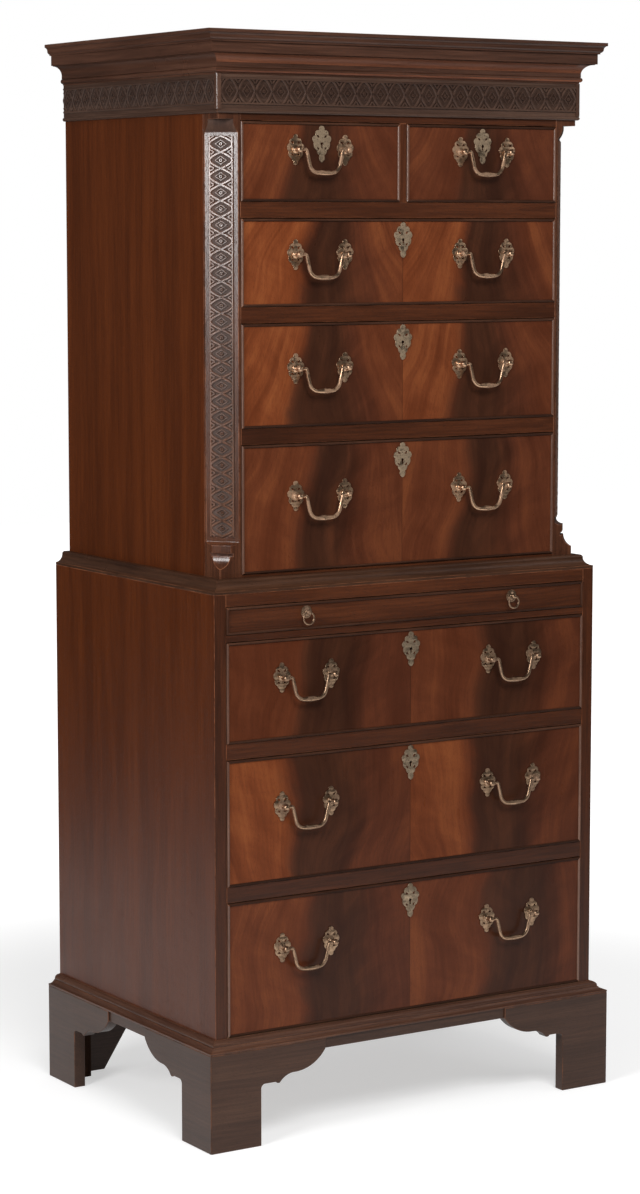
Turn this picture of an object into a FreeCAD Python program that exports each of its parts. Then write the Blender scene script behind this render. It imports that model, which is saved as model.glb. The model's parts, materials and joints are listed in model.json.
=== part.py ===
import FreeCAD, Part
import math
import os

from FreeCAD import Vector

# A chest on chest: a lower case of three long drawers under a brushing slide, on bracket
# feet, and an upper case of two short over three long drawers that stands inside the waist
# moulding. Millimetres, +Z up, the front faces -Y, the origin is on the floor under the
# middle of the piece.

# ---- Driving dimensions: the two cases ----
CASE_WIDTH = 728.0  # lower case, over its sides
CASE_DEPTH = 522.0  # lower case, front edge to back
UPPER_SETBACK = 26.0  # upper case stands in from the lower, at the front and each side
LOWER_SIDE = 21.0  # thickness of a lower side
UPPER_SIDE = 18.0
RAIL_HEIGHT = 25.0  # front rail between two drawers
RAIL_DEPTH = 46.0
CASE_BOARD = 18.5  # floor board of the lower case
UPPER_BOARD = 18.0  # top and floor boards of the upper case
BACKBOARD = 9.0  # thickness of the boards nailed into the back rebate
BACK_REBATE = 9.0  # how far the back rebate goes into each side
BOARD_GAP = 0.6  # between two backboards
LOWER_BACKBOARDS = 4
UPPER_BACKBOARDS = 5

# ---- Driving dimensions: openings for drawers, bottom to top ----
LOWER_OPENINGS = (214.0, 200.0, 159.0)
SLIDE_OPENING = 44.0
SLIDE_RAIL = 11.0  # rail under the brushing slide
LOWER_TOP_RAIL = 19.5
UPPER_FLOOR_RAIL = 25.5
UPPER_OPENINGS = (201.0, 162.0, 136.0)
SHORT_OPENING = 123.0
UPPER_TOP_RAIL = 24.5
SHORT_DIVIDER = 12.0  # upright between the two short drawers

# ---- Driving dimensions: canted corners of the upper case ----
POST_WIDTH = 39.0
CANT_LEG = 35.0  # how far the cant reaches along the front
CANT_SIDE_LEG = 42.0  # and along the side
PLINTH_TOP = 36.0  # the square foot of a corner, above the floor of the upper case
STOP_COVE = 19.0
STOP_COVE_LEG = 18.5
STOP_COVE_SWELL = 4.6
STOP_GROOVE = 4.5
STOP_GROOVE_LEG = 24.5
STOP_BAND = 12.5
STOP_BAND_LEG = 20.0
STOP_HEAD = 5.0
STOP_HEAD_SWELL = 1.9
TOP_SQUARE = 9.0  # the corner is square under the frieze for this much
TOP_STOP = 20.0
TOP_STOP_LEG = 26.0
TOP_STOP_SWELL = 2.8

# ---- Driving dimensions: frieze, cornice and the other mouldings ----
FRIEZE_DROP = 14.0  # frieze hangs below the top of the top rail by this much
FRIEZE_HEIGHT = 59.0
FRIEZE_THICKNESS = 3.0
FRIEZE_BEAD = 6.0  # height
FRIEZE_BEAD_SWELL = 2.2
CORNICE_HEIGHT = 65.0
CORNICE_PROJECTION = 37.0
ASTRAGAL = 4.0  # radius of the half-round bead at the foot of the cornice
CORNICE_FILLET = 2.0  # each small square between two curves of the cornice
CAVETTO_LIFT = 3.0
CAVETTO_HOLLOW = 5.5  # how far the hollow lies behind its straight line
CORONA_HEIGHT = 16.0  # the flat band under the cyma
CORONA_STEP = 3.0  # it stands out from the cavetto, and the cyma from it, by this much
CYMA_HEIGHT = 11.0
CYMA_PROJECTION = 8.0
CYMA_BOW = 1.1
TOP_FILLET = 5.0
TOP_RECESS = 18.0  # the top board lies below the top edge of the cornice
WAIST_HEIGHT = 22.0
WAIST_CLEARANCE = 0.4  # the upper case lifts out of the waist moulding
WAIST_FILLET = 4.5
WAIST_COVE = 11.0  # its rise
WAIST_COVE_DEPTH = 10.5
WAIST_HOLLOW = 2.3
WAIST_ROUND = 4.5  # radius of its top edge
BASE_MOULDING_HEIGHT = 18.0
BASE_FILLET = 3.0
BASE_COVE = 5.5  # its rise
BASE_HOLLOW = 1.6
BASE_ROUND = 8.5  # radius of the upper curve
BASE_SWELL = 3.2
MOULDING_QUIRK = 1.5  # small step between two members of a moulding
FOOT_PROJECTION = 22.0

# ---- Driving dimensions: bracket feet and base frame ----
FOOT_HEIGHT = 157.0
FOOT_THICKNESS = 20.0
FOOT_WIDTH = 92.0
WING_LENGTH = 211.0  # corner of the foot to the tip of its bracket
SOFFIT_DROP = 58.0  # first underside of the bracket, below the top of the foot
TOE_ROUND = 7.0  # radius where the leg turns into the bracket
SOFFIT_LENGTH = 20.0
NOTCH_DEPTH = 2.5
NOTCH_RUN = 3.0
NOTCH_LENGTH = 4.0
BELLY_LENGTH = 28.0
BELLY_RISE = 13.5
BELLY_BOW = 3.8
HOLLOW_RISE = 30.0
HOLLOW_BOW = 8.3
FRAME_HEIGHT = 17.0
FRAME_WIDTH = 60.0
FRAME_INSET = 3.0  # the frame shows between the brackets, this far behind their faces
REAR_BRACKET = 16.0
REAR_FLOOR_WIDTH = 98.0
REAR_TOP_WIDTH = 190.0
FOOT_BLOCK = 34.0
BLOCK_LIFT = 2.0

# ---- Driving dimensions: runners and dustboards ----
RUNNER_WIDTH = 23.0
UPPER_RUNNER_WIDTH = 40.0
GUIDE_HEIGHT = 20.0
DUSTBOARD = 7.0
SLIDE_BOARD = 16.0

# ---- Driving dimensions: drawers ----
SIDE_GAP = 0.8  # opening to drawer, each side
TOP_GAP = 1.0
RUN_GAP = 0.3  # drawer above its runners
FRONT_THICKNESS = 20.0
LAP = 8.0  # front wood that covers the dovetails
LINING = 8.0  # drawer sides and back
LINING_DROP = 6.0  # top of the sides below the top of the front
BACK_DROP = 10.0
BOTTOM = 6.0
BOTTOM_LIFT = 8.0
UPPER_DRAWER_DEPTH = 455.0
LOWER_DRAWER_DEPTH = 480.0
SLIDE_DEPTH = 440.0
BEAD_WIDTH = 4.0
BEAD_STAND = 2.5  # cockbead stands this far in front of the drawer
TAIL_PITCH = 38.0  # target spacing of the dovetails
TAIL_FLARE = 2.0
PIN_NECK = 4.0

# ---- Driving dimensions: brass ----
UPPER_PULL_INSET = 144.0  # middle of a handle from the side of its opening
LOWER_PULL_INSET = 146.0
SHORT_PULL_RISE = 18.5  # handle posts above the middle of the drawer
UPPER_PULL_RISE = (18.0, 10.0, 12.0)
LOWER_PULL_RISE = (25.0, 19.0, 18.0)
POST_SPACING = 91.0
PIVOT_STAND = 14.0  # pivot of the bail in front of the drawer
PLATE = 1.6  # thickness of the pierced plates
POST_HEAD = 5.2  # radius
POST_NECK = 3.2
POST_COLLAR = 6.2
COLLAR_EDGE = 1.2
BALL_STEP = 30.0  # degrees between the flats of a turned ball
SHANK = 2.4
SHANK_CLEARANCE = 0.25
NUT_RADIUS = 6.0
NUT_HEIGHT = 4.0
NUT_SIDES = 6
SHANK_END = 1.0  # shank that shows past its nut
BAIL_RADIUS = 3.1
BAR_SIDES = 8  # flats of a bail and of a ring
BAIL_PIN = 2.0
PIN_CLEARANCE = 0.1
PIN_REACH = 3.0  # the pin ends this far past the middle of the post
BAIL_END_GAP = 0.8
BAIL_DROP = 35.5
BAIL_CORNER = 16.0
NECK_RISE = 5.0
NECK_FALL = 3.6
NECK_TURN = 20.0  # degrees
ARM_SLANT = 14.0  # degrees that the arms lean in towards the grip
BEND_STEP = 16.0  # degrees at most between two lengths of a bend
GRIP_RADIUS = 4.3
GRIP_HALF_LENGTH = 12.0
ESCUTCHEON_DROP = 34.0  # middle of the plate below the top of the opening
KEYHOLE_RADIUS = 2.6
KEYHOLE_SLOT = 2.2
KEYHOLE_LENGTH = 9.0
LOCK_WIDTH = 58.0
LOCK_HEIGHT = 40.0
LOCK_DEPTH = 9.0
RING_RADIUS = 9.5
RING_WIRE = 1.5
RING_EYE = 4.2
RING_EYE_HOLE = 2.6
RING_STAND = 8.0
RING_PLATE = 10.0
RING_RISE = 5.5  # eye above the middle of the slide

# ---- Closeness ----
SAME_POINT = 1e-6  # two points of an outline closer than this are one

# ---- Sizes that follow ----
OVERALL_DEPTH = CASE_DEPTH + FOOT_PROJECTION
BACK_Y = OVERALL_DEPTH / 2
FRONT_Y = BACK_Y - CASE_DEPTH
UPPER_FRONT_Y = FRONT_Y + UPPER_SETBACK
CASE_X = CASE_WIDTH / 2
UPPER_X = CASE_X - UPPER_SETBACK
FOOT_X = CASE_X + FOOT_PROJECTION
FOOT_Y = FRONT_Y - FOOT_PROJECTION
LOWER_OPEN_X = CASE_X - LOWER_SIDE
UPPER_OPEN_X = UPPER_X - POST_WIDTH
UPPER_PULL_X = UPPER_OPEN_X - UPPER_PULL_INSET
LOWER_PULL_X = LOWER_OPEN_X - LOWER_PULL_INSET
UPPER_INNER_X = UPPER_X - UPPER_SIDE
INNER_BACK_Y = BACK_Y - BACKBOARD
LOWER_BEHIND_RAIL = FRONT_Y + RAIL_DEPTH
UPPER_BEHIND_RAIL = UPPER_FRONT_Y + RAIL_DEPTH


def stack(start, heights, between):
    """Bottom and top of each opening, stacked from start with a rail between."""
    levels = []
    bottom = start
    for height in heights:
        levels.append((bottom, bottom + height))
        bottom += height + between
    return levels


LOWER_FLOOR = FOOT_HEIGHT + CASE_BOARD
LOWER_LEVELS = stack(LOWER_FLOOR, LOWER_OPENINGS, RAIL_HEIGHT)
SLIDE_BOTTOM = LOWER_LEVELS[-1][1] + SLIDE_RAIL
SLIDE_TOP = SLIDE_BOTTOM + SLIDE_OPENING
LOWER_TOP = SLIDE_TOP + LOWER_TOP_RAIL
UPPER_FLOOR = LOWER_TOP + UPPER_FLOOR_RAIL
UPPER_LEVELS = stack(UPPER_FLOOR, UPPER_OPENINGS + (SHORT_OPENING,), RAIL_HEIGHT)
SHORT_LEVEL = UPPER_LEVELS[-1]
TOP_RAIL_TOP = SHORT_LEVEL[1] + UPPER_TOP_RAIL
FRIEZE_BOTTOM = TOP_RAIL_TOP - FRIEZE_DROP
CORNICE_BOTTOM = FRIEZE_BOTTOM + FRIEZE_HEIGHT
TOTAL_HEIGHT = CORNICE_BOTTOM + CORNICE_HEIGHT
UPPER_TOP = TOTAL_HEIGHT - TOP_RECESS

ALONG_X = Vector(1, 0, 0)
ALONG_Y = Vector(0, 1, 0)
ALONG_Z = Vector(0, 0, 1)


# ---- Helpers ----
def block(x0, x1, y0, y1, z0, z1):
    return Part.makeBox(x1 - x0, y1 - y0, z1 - z0, Vector(x0, y0, z0))


def outline(points, origin, right, up):
    """Closed face from points in the plane of right and up.

    A point is (u, w) for a straight edge, or ((mid_u, mid_w), (u, w)) for an arc.
    """
    def place(point):
        return origin + right * point[0] + up * point[1]

    edges = []
    start = place(points[0])
    for point in points[1:] + [points[0]]:
        if isinstance(point[0], tuple):
            end = place(point[1])
            edges.append(Part.Arc(start, place(point[0]), end).toShape())
        else:
            end = place(point)
            if (end - start).Length > SAME_POINT:
                edges.append(Part.LineSegment(start, end).toShape())
        start = end
    return Part.Face(Part.Wire(edges))


def bowed(start, end, bow):
    """An outline's arc from start to end that stands out to the left of the straight line by bow."""
    run_u = end[0] - start[0]
    run_w = end[1] - start[1]
    length = math.hypot(run_u, run_w)
    middle_u = (start[0] + end[0]) / 2 - bow * run_w / length
    middle_w = (start[1] + end[1]) / 2 + bow * run_u / length
    return (middle_u, middle_w), end


def quarter_bow(radius):
    """How far a quarter round stands out from the straight line between its ends."""
    return radius * (1 - math.cos(math.radians(45)))


def corner_points(points):
    """The corners of an outline, without the middles of its arcs."""
    return [point[1] if isinstance(point[0], tuple) else point for point in points]


def mirrored_points(half):
    """A whole outline from its right half, which runs from top to bottom on the middle line."""
    left = []
    ends = corner_points(half)
    for index in range(len(half) - 1, 0, -1):
        end = (-ends[index - 1][0], ends[index - 1][1])
        if isinstance(half[index][0], tuple):
            mid = half[index][0]
            left.append(((-mid[0], mid[1]), end))
        else:
            left.append(end)
    return half + left


def rod(radius, start, end):
    axis = end - start
    return Part.makeCylinder(radius, axis.Length, start, axis)


def mirror_x(shape):
    return shape.mirror(Vector(0, 0, 0), ALONG_X)


def both_sides(shape):
    return [shape, mirror_x(shape)]


def mitred_surround(profile, half_x, front_y, back_y, bottom_z):
    """A moulding across the front and back along both sides, mitred at the front corners.

    profile is a list of outline points (projection from the case, height above bottom_z).
    """
    reach = 2 * max(point[0] for point in corner_points(profile))
    front = outline(profile, Vector(-half_x - reach, front_y, bottom_z), ALONG_Y * -1, ALONG_Z)
    front = front.extrude(ALONG_X * (2 * (half_x + reach)))
    side = outline(profile, Vector(half_x, back_y, bottom_z), ALONG_X, ALONG_Z)
    side = side.extrude(ALONG_Y * (front_y - reach - back_y))
    low = bottom_z - reach
    tall = ALONG_Z * (front.BoundBox.ZLength + 2 * reach)
    keep_front = [
        (-half_x - reach, front_y - reach),
        (half_x + reach, front_y - reach),
        (half_x, front_y),
        (-half_x, front_y),
    ]
    keep_side = [
        (half_x + reach, front_y - reach),
        (half_x + reach, back_y),
        (half_x, back_y),
        (half_x, front_y),
    ]
    floor = Vector(0, 0, low)
    front = front.common(outline(keep_front, floor, ALONG_X, ALONG_Y).extrude(tall))
    side = side.common(outline(keep_side, floor, ALONG_X, ALONG_Y).extrude(tall))
    return [front] + both_sides(side)


def save(name, solids):
    """Write one node: each item may be a solid or a compound that holds one."""
    pieces = []
    for item in solids:
        pieces.extend(item.Solids)
    shape = pieces[0] if len(pieces) == 1 else Part.makeCompound(pieces)
    shape.exportStep(os.path.join("parts", name + ".step"))


# ---- Lower case ----
def case_side(outer_x, thickness, front_y, bottom, top):
    side = block(outer_x - thickness, outer_x, front_y, BACK_Y, bottom, top)
    rebate = block(outer_x - thickness, outer_x - thickness + BACK_REBATE, INNER_BACK_Y, BACK_Y, bottom, top)
    return side.cut(rebate)


def backboards(half_x, bottom, top, count):
    pitch = (top - bottom + BOARD_GAP) / count
    boards = []
    for index in range(count):
        low = bottom + index * pitch
        boards.append(block(-half_x, half_x, INNER_BACK_Y, BACK_Y, low, low + pitch - BOARD_GAP))
    return boards


def lower_rails():
    rails = []
    for lower, upper in zip(LOWER_LEVELS, LOWER_LEVELS[1:]):
        rails.append((lower[1], upper[0]))
    rails.append((LOWER_LEVELS[-1][1], SLIDE_BOTTOM))
    rails.append((SLIDE_TOP, LOWER_TOP))
    return [block(-LOWER_OPEN_X, LOWER_OPEN_X, FRONT_Y, LOWER_BEHIND_RAIL, low, high) for low, high in rails]


def runner_level(half_x, width, front_y, low, high):
    """A runner on each side and the dustboard between them, behind one front rail."""
    runner = block(half_x - width, half_x, front_y, INNER_BACK_Y, low, high)
    middle = (low + high) / 2
    inner = half_x - width
    dust = block(-inner, inner, front_y, INNER_BACK_Y, middle - DUSTBOARD / 2, middle + DUSTBOARD / 2)
    return both_sides(runner) + [dust]


def lower_boards():
    floor = block(-LOWER_OPEN_X, LOWER_OPEN_X, FRONT_Y, INNER_BACK_Y, FOOT_HEIGHT, LOWER_FLOOR)
    top = block(-LOWER_OPEN_X, LOWER_OPEN_X, LOWER_BEHIND_RAIL, INNER_BACK_Y, SLIDE_TOP, LOWER_TOP)
    boards = [floor, top]
    levels = [(low[1], high[0]) for low, high in zip(LOWER_LEVELS, LOWER_LEVELS[1:])]
    levels.append((LOWER_LEVELS[-1][1], SLIDE_BOTTOM))
    for low, high in levels:
        boards += runner_level(LOWER_OPEN_X, RUNNER_WIDTH, LOWER_BEHIND_RAIL, low, high)
    middle = (SLIDE_BOTTOM + SLIDE_TOP) / 2
    half = SLIDE_BOARD / 2 + RUN_GAP
    inner = LOWER_OPEN_X - RUNNER_WIDTH
    bed = block(inner, LOWER_OPEN_X, LOWER_BEHIND_RAIL, INNER_BACK_Y, SLIDE_BOTTOM, middle - half)
    lid = block(inner, LOWER_OPEN_X, LOWER_BEHIND_RAIL, INNER_BACK_Y, middle + half, SLIDE_TOP)
    return boards + both_sides(bed) + both_sides(lid)


def waist_moulding():
    """Fillet, cove and a rounded top edge, from the front of the lower case in to the upper."""
    edge = UPPER_SETBACK - MOULDING_QUIRK
    band = edge - WAIST_COVE_DEPTH
    cove_foot = (edge, WAIST_FILLET)
    cove_head = (band, WAIST_FILLET + WAIST_COVE)
    round_foot = (band, WAIST_HEIGHT - WAIST_ROUND)
    round_head = (band - WAIST_ROUND, WAIST_HEIGHT)
    profile = [
        (WAIST_CLEARANCE, 0),
        (UPPER_SETBACK, 0),
        (UPPER_SETBACK, WAIST_FILLET),
        cove_foot,
        bowed(cove_foot, cove_head, WAIST_HOLLOW),
        round_foot,
        bowed(round_foot, round_head, -quarter_bow(WAIST_ROUND)),
        (WAIST_CLEARANCE, WAIST_HEIGHT),
    ]
    return mitred_surround(profile, UPPER_X, UPPER_FRONT_Y, BACK_Y, LOWER_TOP)


def base_moulding():
    """Fillet, cove and a swelling upper curve, on top of the feet."""
    round_head = (MOULDING_QUIRK, BASE_FILLET + BASE_COVE + BASE_ROUND)
    round_foot = (MOULDING_QUIRK + BASE_ROUND, BASE_FILLET + BASE_COVE)
    cove_head = (round_foot[0] + MOULDING_QUIRK, round_foot[1])
    cove_foot = (FOOT_PROJECTION - MOULDING_QUIRK, BASE_FILLET)
    profile = [
        (0, 0),
        (FOOT_PROJECTION, 0),
        (FOOT_PROJECTION, BASE_FILLET),
        cove_foot,
        bowed(cove_foot, cove_head, BASE_HOLLOW),
        round_foot,
        bowed(round_foot, round_head, -BASE_SWELL),
        (MOULDING_QUIRK, BASE_MOULDING_HEIGHT),
        (0, BASE_MOULDING_HEIGHT),
    ]
    return mitred_surround(profile, CASE_X, FRONT_Y, BACK_Y, FOOT_HEIGHT)


def base_frame():
    low = FOOT_HEIGHT - FRAME_HEIGHT
    inner_x = FOOT_X - FOOT_THICKNESS
    inner_y = FOOT_Y + FOOT_THICKNESS
    edge_x = FOOT_X - FRAME_INSET
    edge_y = FOOT_Y + FRAME_INSET
    member_x = inner_x - FRAME_WIDTH
    member_y = inner_y + FRAME_WIDTH
    gap_x = FOOT_X - WING_LENGTH
    gap_front = FOOT_Y + WING_LENGTH
    gap_back = BACK_Y - WING_LENGTH
    front = block(-inner_x, inner_x, inner_y, member_y, low, FOOT_HEIGHT)
    front = front.fuse(block(-gap_x, gap_x, edge_y, inner_y, low, FOOT_HEIGHT)).removeSplitter()
    side = block(member_x, inner_x, member_y, BACK_Y, low, FOOT_HEIGHT)
    side = side.fuse(block(inner_x, edge_x, gap_front, gap_back, low, FOOT_HEIGHT)).removeSplitter()
    back = block(-member_x, member_x, BACK_Y - FRAME_WIDTH, BACK_Y, low, FOOT_HEIGHT)
    return [front, back] + both_sides(side)


def foot_blocks():
    low = BLOCK_LIFT
    high = FOOT_HEIGHT - FRAME_HEIGHT
    outer_x = FOOT_X - FOOT_THICKNESS
    front_y = FOOT_Y + FOOT_THICKNESS
    rear_y = BACK_Y - REAR_BRACKET
    front = block(outer_x - FOOT_BLOCK, outer_x, front_y, front_y + FOOT_BLOCK, low, high)
    rear = block(outer_x - FOOT_BLOCK, outer_x, rear_y - FOOT_BLOCK, rear_y, low, high)
    return both_sides(front) + both_sides(rear)


def bracket_profile():
    """A bracket seen flat: distance from the outer corner, height above the floor.

    Up the leg, round the toe, along a short soffit, past a notch, then a belly and a hollow.
    """
    soffit = FOOT_HEIGHT - SOFFIT_DROP
    toe_foot = (FOOT_WIDTH, soffit - TOE_ROUND)
    toe_head = (FOOT_WIDTH + TOE_ROUND, soffit)
    notch = toe_head[0] + SOFFIT_LENGTH
    belly_foot = (notch + NOTCH_RUN + NOTCH_LENGTH, soffit - NOTCH_DEPTH)
    belly_head = (belly_foot[0] + BELLY_LENGTH, belly_foot[1] + BELLY_RISE)
    tip = (WING_LENGTH, belly_head[1] + HOLLOW_RISE)
    return [
        (0, 0),
        (FOOT_WIDTH, 0),
        toe_foot,
        bowed(toe_foot, toe_head, quarter_bow(TOE_ROUND)),
        (notch, soffit),
        (notch + NOTCH_RUN, soffit - NOTCH_DEPTH),
        belly_foot,
        bowed(belly_foot, belly_head, BELLY_BOW),
        bowed(belly_head, tip, -HOLLOW_BOW),
        (WING_LENGTH, FOOT_HEIGHT),
        (0, FOOT_HEIGHT),
    ]


def front_feet():
    """Two bracket boards to a foot, mitred together at the corner."""
    corner = Vector(FOOT_X, FOOT_Y, 0)
    across = outline(bracket_profile(), corner, ALONG_X * -1, ALONG_Z).extrude(ALONG_Y * FOOT_THICKNESS)
    along = outline(bracket_profile(), corner, ALONG_Y, ALONG_Z).extrude(ALONG_X * -FOOT_THICKNESS)
    reach = FOOT_THICKNESS
    wedge = [(0, 0), (0, reach), (-reach, reach)]
    side_of_mitre = outline(wedge, corner, ALONG_X, ALONG_Y).extrude(ALONG_Z * FOOT_HEIGHT)
    front_of_mitre = outline([(0, 0), (-reach, 0), (-reach, reach)], corner, ALONG_X, ALONG_Y)
    front_of_mitre = front_of_mitre.extrude(ALONG_Z * FOOT_HEIGHT)
    return both_sides(across.cut(side_of_mitre)) + both_sides(along.cut(front_of_mitre))


def rear_feet():
    """A side bracket like the front ones, and a plain diagonal bracket behind it."""
    corner = Vector(FOOT_X, BACK_Y, 0)
    side = outline(bracket_profile(), corner, ALONG_Y * -1, ALONG_Z).extrude(ALONG_X * -FOOT_THICKNESS)
    top = FOOT_HEIGHT - FRAME_HEIGHT
    diagonal = [
        (FOOT_THICKNESS, 0),
        (REAR_FLOOR_WIDTH, 0),
        (REAR_TOP_WIDTH, top),
        (FOOT_THICKNESS, top),
    ]
    rear = outline(diagonal, corner, ALONG_X * -1, ALONG_Z).extrude(ALONG_Y * -REAR_BRACKET)
    return both_sides(side) + both_sides(rear)


# ---- Upper case ----
def canted_corner():
    """A corner post: square at its foot and head, canted between, with moulded stops."""
    post = block(UPPER_OPEN_X, UPPER_X, UPPER_FRONT_Y, UPPER_BEHIND_RAIL, LOWER_TOP, UPPER_TOP)
    plinth = LOWER_TOP + PLINTH_TOP
    cove = plinth + STOP_COVE
    groove = cove + STOP_GROOVE
    band = groove + STOP_BAND
    head = band + STOP_HEAD
    shoulder = FRIEZE_BOTTOM - TOP_SQUARE
    full = shoulder - TOP_STOP
    outside = -CANT_LEG
    legs = [
        (outside, plinth),
        (0, plinth),
        bowed((0, plinth), (STOP_COVE_LEG, cove), -STOP_COVE_SWELL),
        (STOP_GROOVE_LEG, cove),
        (STOP_GROOVE_LEG, groove),
        (STOP_BAND_LEG, groove),
        (STOP_BAND_LEG, band),
        bowed((STOP_BAND_LEG, band), (CANT_LEG, head), -STOP_HEAD_SWELL),
        (CANT_LEG, full),
        bowed((CANT_LEG, full), (TOP_STOP_LEG, shoulder), TOP_STOP_SWELL),
        (0, shoulder),
        (outside, shoulder),
    ]
    face = Vector(CANT_LEG, CANT_SIDE_LEG, 0)
    tangent = face / face.Length
    inward = Vector(-tangent.y, tangent.x, 0) * tangent.y
    corner = Vector(UPPER_X, UPPER_FRONT_Y, 0)
    away = outline(legs, corner - tangent * (2 * CANT_SIDE_LEG), inward, ALONG_Z)
    return post.cut(away.extrude(tangent * (4 * CANT_SIDE_LEG)))


def upper_rails():
    levels = [(low[1], high[0]) for low, high in zip(UPPER_LEVELS, UPPER_LEVELS[1:])]
    levels.insert(0, (LOWER_TOP, UPPER_FLOOR))
    levels.append((SHORT_LEVEL[1], TOP_RAIL_TOP))
    rails = []
    for low, high in levels:
        rails.append(block(-UPPER_OPEN_X, UPPER_OPEN_X, UPPER_FRONT_Y, UPPER_BEHIND_RAIL, low, high))
    half = SHORT_DIVIDER / 2
    divider = block(-half, half, UPPER_FRONT_Y, UPPER_BEHIND_RAIL, SHORT_LEVEL[0], SHORT_LEVEL[1])
    behind = UPPER_FRONT_Y + RAIL_DEPTH / 2
    backing = block(-UPPER_OPEN_X, UPPER_OPEN_X, UPPER_FRONT_Y, behind, TOP_RAIL_TOP, UPPER_TOP)
    return rails + [divider, backing]


def upper_boards():
    left = -UPPER_INNER_X
    over_floor = LOWER_TOP + UPPER_BOARD
    under_top = UPPER_TOP - UPPER_BOARD
    floor = block(left, UPPER_INNER_X, UPPER_BEHIND_RAIL, INNER_BACK_Y, LOWER_TOP, over_floor)
    top = block(left, UPPER_INNER_X, UPPER_BEHIND_RAIL, INNER_BACK_Y, under_top, UPPER_TOP)
    lip = block(
        -UPPER_OPEN_X,
        UPPER_OPEN_X,
        UPPER_FRONT_Y + RAIL_DEPTH / 2,
        UPPER_BEHIND_RAIL,
        under_top,
        UPPER_TOP,
    )
    boards = [floor, top.fuse(lip).removeSplitter()]
    inner = UPPER_INNER_X - UPPER_RUNNER_WIDTH
    foot = block(inner, UPPER_INNER_X, UPPER_BEHIND_RAIL, INNER_BACK_Y, over_floor, UPPER_FLOOR)
    boards += both_sides(foot)
    for low, high in zip(UPPER_LEVELS, UPPER_LEVELS[1:]):
        boards += runner_level(UPPER_INNER_X, UPPER_RUNNER_WIDTH, UPPER_BEHIND_RAIL, low[1], high[0])
    for low, high in UPPER_LEVELS:
        guide = block(UPPER_OPEN_X, UPPER_INNER_X, UPPER_BEHIND_RAIL, INNER_BACK_Y, low, low + GUIDE_HEIGHT)
        boards += both_sides(guide)
    half = SHORT_DIVIDER / 2
    low = SHORT_LEVEL[0]
    middle = (low - RAIL_HEIGHT / 2) + DUSTBOARD / 2
    bearer_half = UPPER_RUNNER_WIDTH / 2
    bearer = block(-bearer_half, bearer_half, UPPER_BEHIND_RAIL, INNER_BACK_Y, middle, low)
    fence = block(-half, half, UPPER_BEHIND_RAIL, INNER_BACK_Y, low, low + GUIDE_HEIGHT)
    kicker = block(inner, UPPER_INNER_X, UPPER_BEHIND_RAIL, INNER_BACK_Y, SHORT_LEVEL[1], TOP_RAIL_TOP)
    return boards + [bearer, fence] + both_sides(kicker)


def frieze():
    """A thin board with a small bead along its foot."""
    bead_foot = (FRIEZE_THICKNESS, 0)
    bead_head = (FRIEZE_THICKNESS, FRIEZE_BEAD)
    profile = [
        (0, 0),
        bead_foot,
        bowed(bead_foot, bead_head, -FRIEZE_BEAD_SWELL),
        (FRIEZE_THICKNESS, FRIEZE_HEIGHT),
        (0, FRIEZE_HEIGHT),
    ]
    return mitred_surround(profile, UPPER_X, UPPER_FRONT_Y, BACK_Y, FRIEZE_BOTTOM)


def cornice():
    """Astragal, cavetto, corona and cyma, from the frieze up to the top edge."""
    out = CORNICE_PROJECTION
    top = CORNICE_HEIGHT
    neck = CORNICE_FILLET
    bead_foot = (ASTRAGAL, neck)
    bead_head = (ASTRAGAL, neck + 2 * ASTRAGAL)
    cavetto_foot = (ASTRAGAL + CORNICE_FILLET, bead_head[1] + CAVETTO_LIFT)
    cyma_head = (out - MOULDING_QUIRK / 2, top - TOP_FILLET)
    cyma_foot = (cyma_head[0] - CYMA_PROJECTION, cyma_head[1] - CYMA_HEIGHT)
    cyma_waist = ((cyma_foot[0] + cyma_head[0]) / 2, (cyma_foot[1] + cyma_head[1]) / 2)
    corona_top = cyma_foot[1] - CORNICE_FILLET
    corona_out = cyma_foot[0] - CORONA_STEP
    corona_foot = corona_top - CORONA_HEIGHT
    cavetto_head = (corona_out - CORONA_STEP, corona_foot - CORNICE_FILLET / 2)
    profile = [
        (0, 0),
        (ASTRAGAL, 0),
        bead_foot,
        bowed(bead_foot, bead_head, -ASTRAGAL),
        (cavetto_foot[0], bead_head[1]),
        cavetto_foot,
        bowed(cavetto_foot, cavetto_head, CAVETTO_HOLLOW),
        (cavetto_head[0], corona_foot),
        (corona_out, corona_foot),
        (corona_out, corona_top),
        (cyma_foot[0], corona_top),
        cyma_foot,
        bowed(cyma_foot, cyma_waist, -CYMA_BOW),
        bowed(cyma_waist, cyma_head, CYMA_BOW),
        (out, cyma_head[1]),
        (out, top),
        (0, top),
    ]
    return mitred_surround(profile, UPPER_X, UPPER_FRONT_Y, BACK_Y, CORNICE_BOTTOM)


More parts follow.
